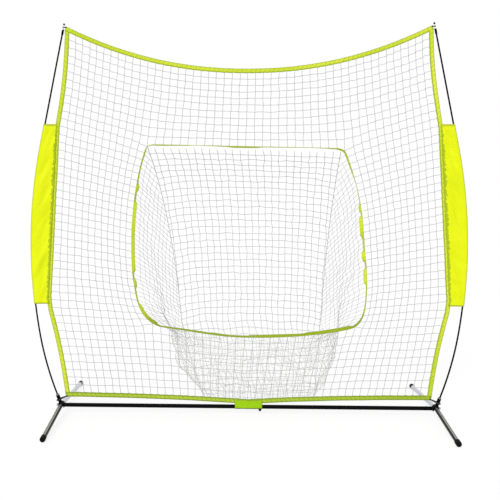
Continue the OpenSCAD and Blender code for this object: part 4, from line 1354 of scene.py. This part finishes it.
def buildSleeve(s, side):
    word = sideNames[side]
    low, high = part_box("side_sleeve_" + word)
    poleX, heights = poleLine(side, low.z, high.z, s["rows"])
    along = heights - heights[0]
    fromEnd = np.minimum(along, along[-1] - along)
    outer = bands[word][0]
    order = np.argsort(outer[:, 1])
    scallop = s["scallop"] * (0.5 + 0.5 * np.cos(2 * math.pi * along / s["scallopEvery"]))
    netX = np.interp(heights, outer[order, 1], outer[order, 0]) - side * (s["lap"] + scallop)
    band = sewn[word]
    drift = np.interp(heights, band.outer[:, 1], band.wave)
    lie = (band.s["thick"] + s["cloth"]) / 2 + s["clear"]
    # a ring of the cloth: the front layer, round the pole, and the back layer
    share, flat = np.linspace(0, 1, s["layer"]), np.zeros(s["layer"])
    turn = np.linspace(-math.pi / 2, math.pi / 2, s["turn"] + 2)[1:-1]
    across = np.r_[share, np.ones(s["turn"]), share[::-1]]
    facing = np.r_[flat - 1, np.sin(turn), flat + 1]
    reachOut = np.r_[flat, np.cos(turn), flat]
    rows, columns = np.meshgrid(np.arange(s["rows"]), np.arange(len(across)), indexing="ij")
    a = across[columns]
    x = netX[rows] + (poleX[rows] - netX[rows]) * a + side * reachOut[columns] * s["hem"]
    y = facing[columns] * (lie + (s["hem"] - lie) * a ** s["open"])
    slanted = np.stack([a * s["slant"][0], heights[rows] + a * s["slant"][1]], axis=-1).reshape(-1, 2)
    waves = smoothNoise(slanted * s["broad"], 1.0, 81 + side)
    waves = (waves + s["fineShare"] * smoothNoise(slanted * s["fine"], 1.0, 85 + side)).reshape(a.shape)
    free = np.sin(math.pi * np.clip(a, 0, 1)) ** s["wrinkleRound"]
    free *= np.clip(fromEnd / s["ends"], s["endShare"], 1)[rows]
    y += netPlane + drift[rows] * (1 - a) + s["wrinkle"] * waves * free
    grid = np.stack([x, y, heights[rows]], axis=-1)
    rings, v = slab(grid, np.where(fromEnd < s["fold"], s["foldCloth"], s["cloth"]))
    made = buildTube("sleeve" + word.capitalize(), looks["sleeve"],
                     ["side_sleeve_" + word], rings, across=v * sleeveLook["width"] / v.max())


for side in sideNames:
    buildSleeve(sleeve, side)
print("sleeves sewn")

# the tab that ties the bottom webbing to the crossbar

tab = {"cloth": 0.0014, "clear": 0.0017, "onBar": 0.0003, "shift": 0.0125, "short": 0.005, "rows": 40,
       "turn": 14, "leg": 7, "around": 44, "slackWaves": (60, 20, 30),
       "slack": (0.00036, 0.0003),  # how far the cloth stands off, and by how much that varies
       "fray": 0.0012, "frayWaves": 90, "flat": (0.155, 0.116)}


def buildTab(s):
    low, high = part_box("centre_tab")
    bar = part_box("crossbar_inner_left")
    middle = (bar[0].z + bar[1].z) / 2
    radius = (bar[1].y - bar[0].y) / 2 + s["onBar"] + s["cloth"] / 2
    band = sewn["bottom"]
    lie = (band.s["thick"] + s["cloth"]) / 2 + s["clear"]
    meet = math.acos(min(lie / radius, 1))
    turn = np.linspace(math.pi - meet, 2 * math.pi + meet, s["turn"])
    around = np.stack([radius * np.cos(turn), middle + radius * np.sin(turn)], axis=1)
    leg = np.linspace(0, 1, s["leg"])[:-1, None]
    crest = high.z - s["short"]
    front = np.array([-lie, crest]) * (1 - leg) + around[0] * leg
    back = np.array([lie, crest]) * (1 - leg) + around[-1] * leg
    path = resample(np.vstack([front, around, back[::-1]]), s["around"])
    x = np.linspace(low.x, high.x, s["rows"]) + s["shift"]
    drift = np.interp(x, band.outer[:, 0], band.wave)
    lifted = np.clip((path[:, 1] - middle - radius) / (crest - middle - radius), 0, 1)
    grid = np.empty((s["rows"], len(path), 3))
    grid[..., 0] = x[:, None]
    grid[..., 1] = netPlane + path[:, 0] + drift[:, None] * lifted
    grid[..., 2] = path[:, 1]
    flutter = smoothNoise(grid.reshape(-1, 3) * s["slackWaves"], 1.0, 91).reshape(grid.shape[:2])
    out = np.stack([np.zeros(len(path)), *unit(path - (0, middle)).T], axis=1)
    grid += out[None] * (s["slack"][0] + s["slack"][1] * flutter)[..., None]
    edge = smoothNoise(path, s["frayWaves"], 92) * s["fray"]
    grid[0, :, 0] += edge
    grid[-1, :, 0] -= edge
    rings, v = slab(grid, s["cloth"])
    made = buildTube("centreTab", looks["tab"], ["centre_tab"], rings, across=v)


buildTab(tab)

# a small peg under the crossbar stops the tab from sliding

peg = {"at": 0.073, "long": 0.0135, "wide": 0.0095, "narrow": 0.0026, "lean": 0.0015, "sides": 18,
       "gap": 0.0006,
       # how far down each ring of the turned shape is, and how wide
       "shape": ((0.0, 1.0), (0.25, 0.94), (0.55, 0.72), (0.8, 0.5), (0.95, 0.32), (1.0, 0.12))}


def buildPeg(s):
    low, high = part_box("crossbar_inner_right")
    middle = (low.z + high.z) / 2
    radius = (high.z - low.z) / 2 + s["gap"]
    grid = []
    for down, size in s["shape"]:
        ring = roundProfile(s["narrow"] + (s["wide"] - s["narrow"]) * size, s["sides"])
        z = np.full(s["sides"], middle - radius - s["long"] * down)
        if down == 0:  # the head follows the tube's round
            z = middle - np.sqrt(np.maximum(radius ** 2 - ring[:, 1] ** 2, 1e-8))
        x = ring[:, 0] + s["at"] - s["lean"] * down
        grid.append(np.stack([x, netPlane + ring[:, 1], z], axis=1))
    buildTube("tabPeg", finishes["black_plastic"], (), np.array(grid))


buildPeg(peg)

# the crossbar's leaf springs under their buttons, copied with rolled edges

spring = {"travel": 0.004, "crown": 0.00012}


def buildSpring(s, word):
    node = nodes["snap_spring_" + word]
    low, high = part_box("snap_spring_" + word)
    made = bpy.data.objects.new("leafSpring" + word.capitalize(), node.data.copy())
    for vertex in made.data.vertices:
        inner = (vertex.co.y - (low.y + high.y) / 2) / (high.y - low.y) * 2
        vertex.co.z -= s["crown"] * inner * inner  # the rolled edges of the strip
    scene.collection.objects.link(made)
    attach(made, "root")
    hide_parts("snap_spring_" + word)
    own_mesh(made)


for word in sideNames.values():
    buildSpring(spring, word)

# elastic cords hold the net's corners to the poles

cords = {
    "loop": {"cord": 0.0022, "clear": 0.0003, "end": 0.004, "taper": 1.0, "knot": 2.2, "round": 0.0028,
             "binding": "top", "replaced": "corner_loop_"},
    "strap": {"cord": 0.0036, "clear": 0.0004, "end": 0.006, "taper": 0.7, "knot": 1.3, "round": 0.01,
              "binding": "bottom", "replaced": "corner_strap_"},
    "onCloth": 0.0006, "rings": 64, "sides": 10, "turn": 22, "taperRun": 0.25,
    "hug": 0.9,  # 1 where the cord leaves the post along its tangents, less where it hugs more of it
    "nearest": 1.2,  # the net's corner counts as at least this many rings from the post's middle
    "neck": 0.017,  # how far the loop lies below the ball
    "post": (0.0316, 0.06),  # where the strap lies above the hub's bolt, and a second point of the post
    "below": 0.3,  # from the ball down to a second point of the pole
}


def cordLoop(s, centre, axis, corner):
    # from the front of the net's corner round a post and back to the corner's other face
    toward = corner - centre
    toward -= axis * toward.dot(axis)
    span = np.linalg.norm(toward)
    toward /= span
    across = np.cross(axis, toward)
    across *= -1 if across[1] > 0 else 1
    ring = s["round"] + s["clear"] + s["cord"]
    lean = math.acos(ring / max(span, ring * cords["nearest"])) * cords["hug"]
    turn = np.linspace(lean, 2 * math.pi - lean, cords["turn"])
    loop = centre + ring * (np.cos(turn)[:, None] * toward + np.sin(turn)[:, None] * across)
    lie = np.array([0, binding["thick"] / 2 + s["cord"] * s["taper"] + cords["onCloth"], 0])
    near = corner + unit(corner - loop.mean(axis=0)) * s["end"]
    start, end = near - lie, near + lie
    line = np.vstack([start, (start + loop[0]) / 2, loop, (end + loop[-1]) / 2, end])
    path = resample(line, cords["rings"])
    stops = (0, cords["taperRun"], 1 - cords["taperRun"], 1)
    size = s["cord"] * np.interp(np.linspace(0, 1, len(path)), stops, (s["taper"], 1, 1, s["taper"]))
    return path, roundProfile(1.0, cords["sides"])[None] * size[:, None, None]


def buildCorner(s, kind, word, centre, way):
    corner = inPlane(np.array([mitre(s["binding"], word)[1]]))[0]
    axis = np.array(way.normalized())
    path, profile = cordLoop(s, np.array(centre), axis, corner)
    piece = Piece()
    piece.add(sweep(path, profile, axis), ends=True, across=np.linspace(0, 1, cords["sides"] + 1))
    # a stopper knot at each end of the cord
    form, faces = knotForm()
    piece.addMany(path[[0, -1], None] + form[None] * s["cord"] * s["knot"], faces)
    name = "corner" + kind + word.capitalize()
    piece.build(name, looks["elastic"], [s["replaced"] + word])


for side, word in sideNames.items():
    ball = sum(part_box("pole_ball_" + word), Vector()) / 2
    low = ball.z - cords["below"]
    way = ball - Vector((poleMiddle(side, low), netPlane, low))
    buildCorner(cords["loop"], "Loop", word, ball - way.normalized() * cords["neck"], way)
    hub = sum(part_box("hub_bolt_" + word), Vector()) / 2
    spots = [Vector((poleMiddle(side, hub.z + rise), netPlane, hub.z + rise)) for rise in cords["post"]]
    buildCorner(cords["strap"], "Strap", word, spots[0], spots[1] - spots[0])
print("ties and corner cords in place")
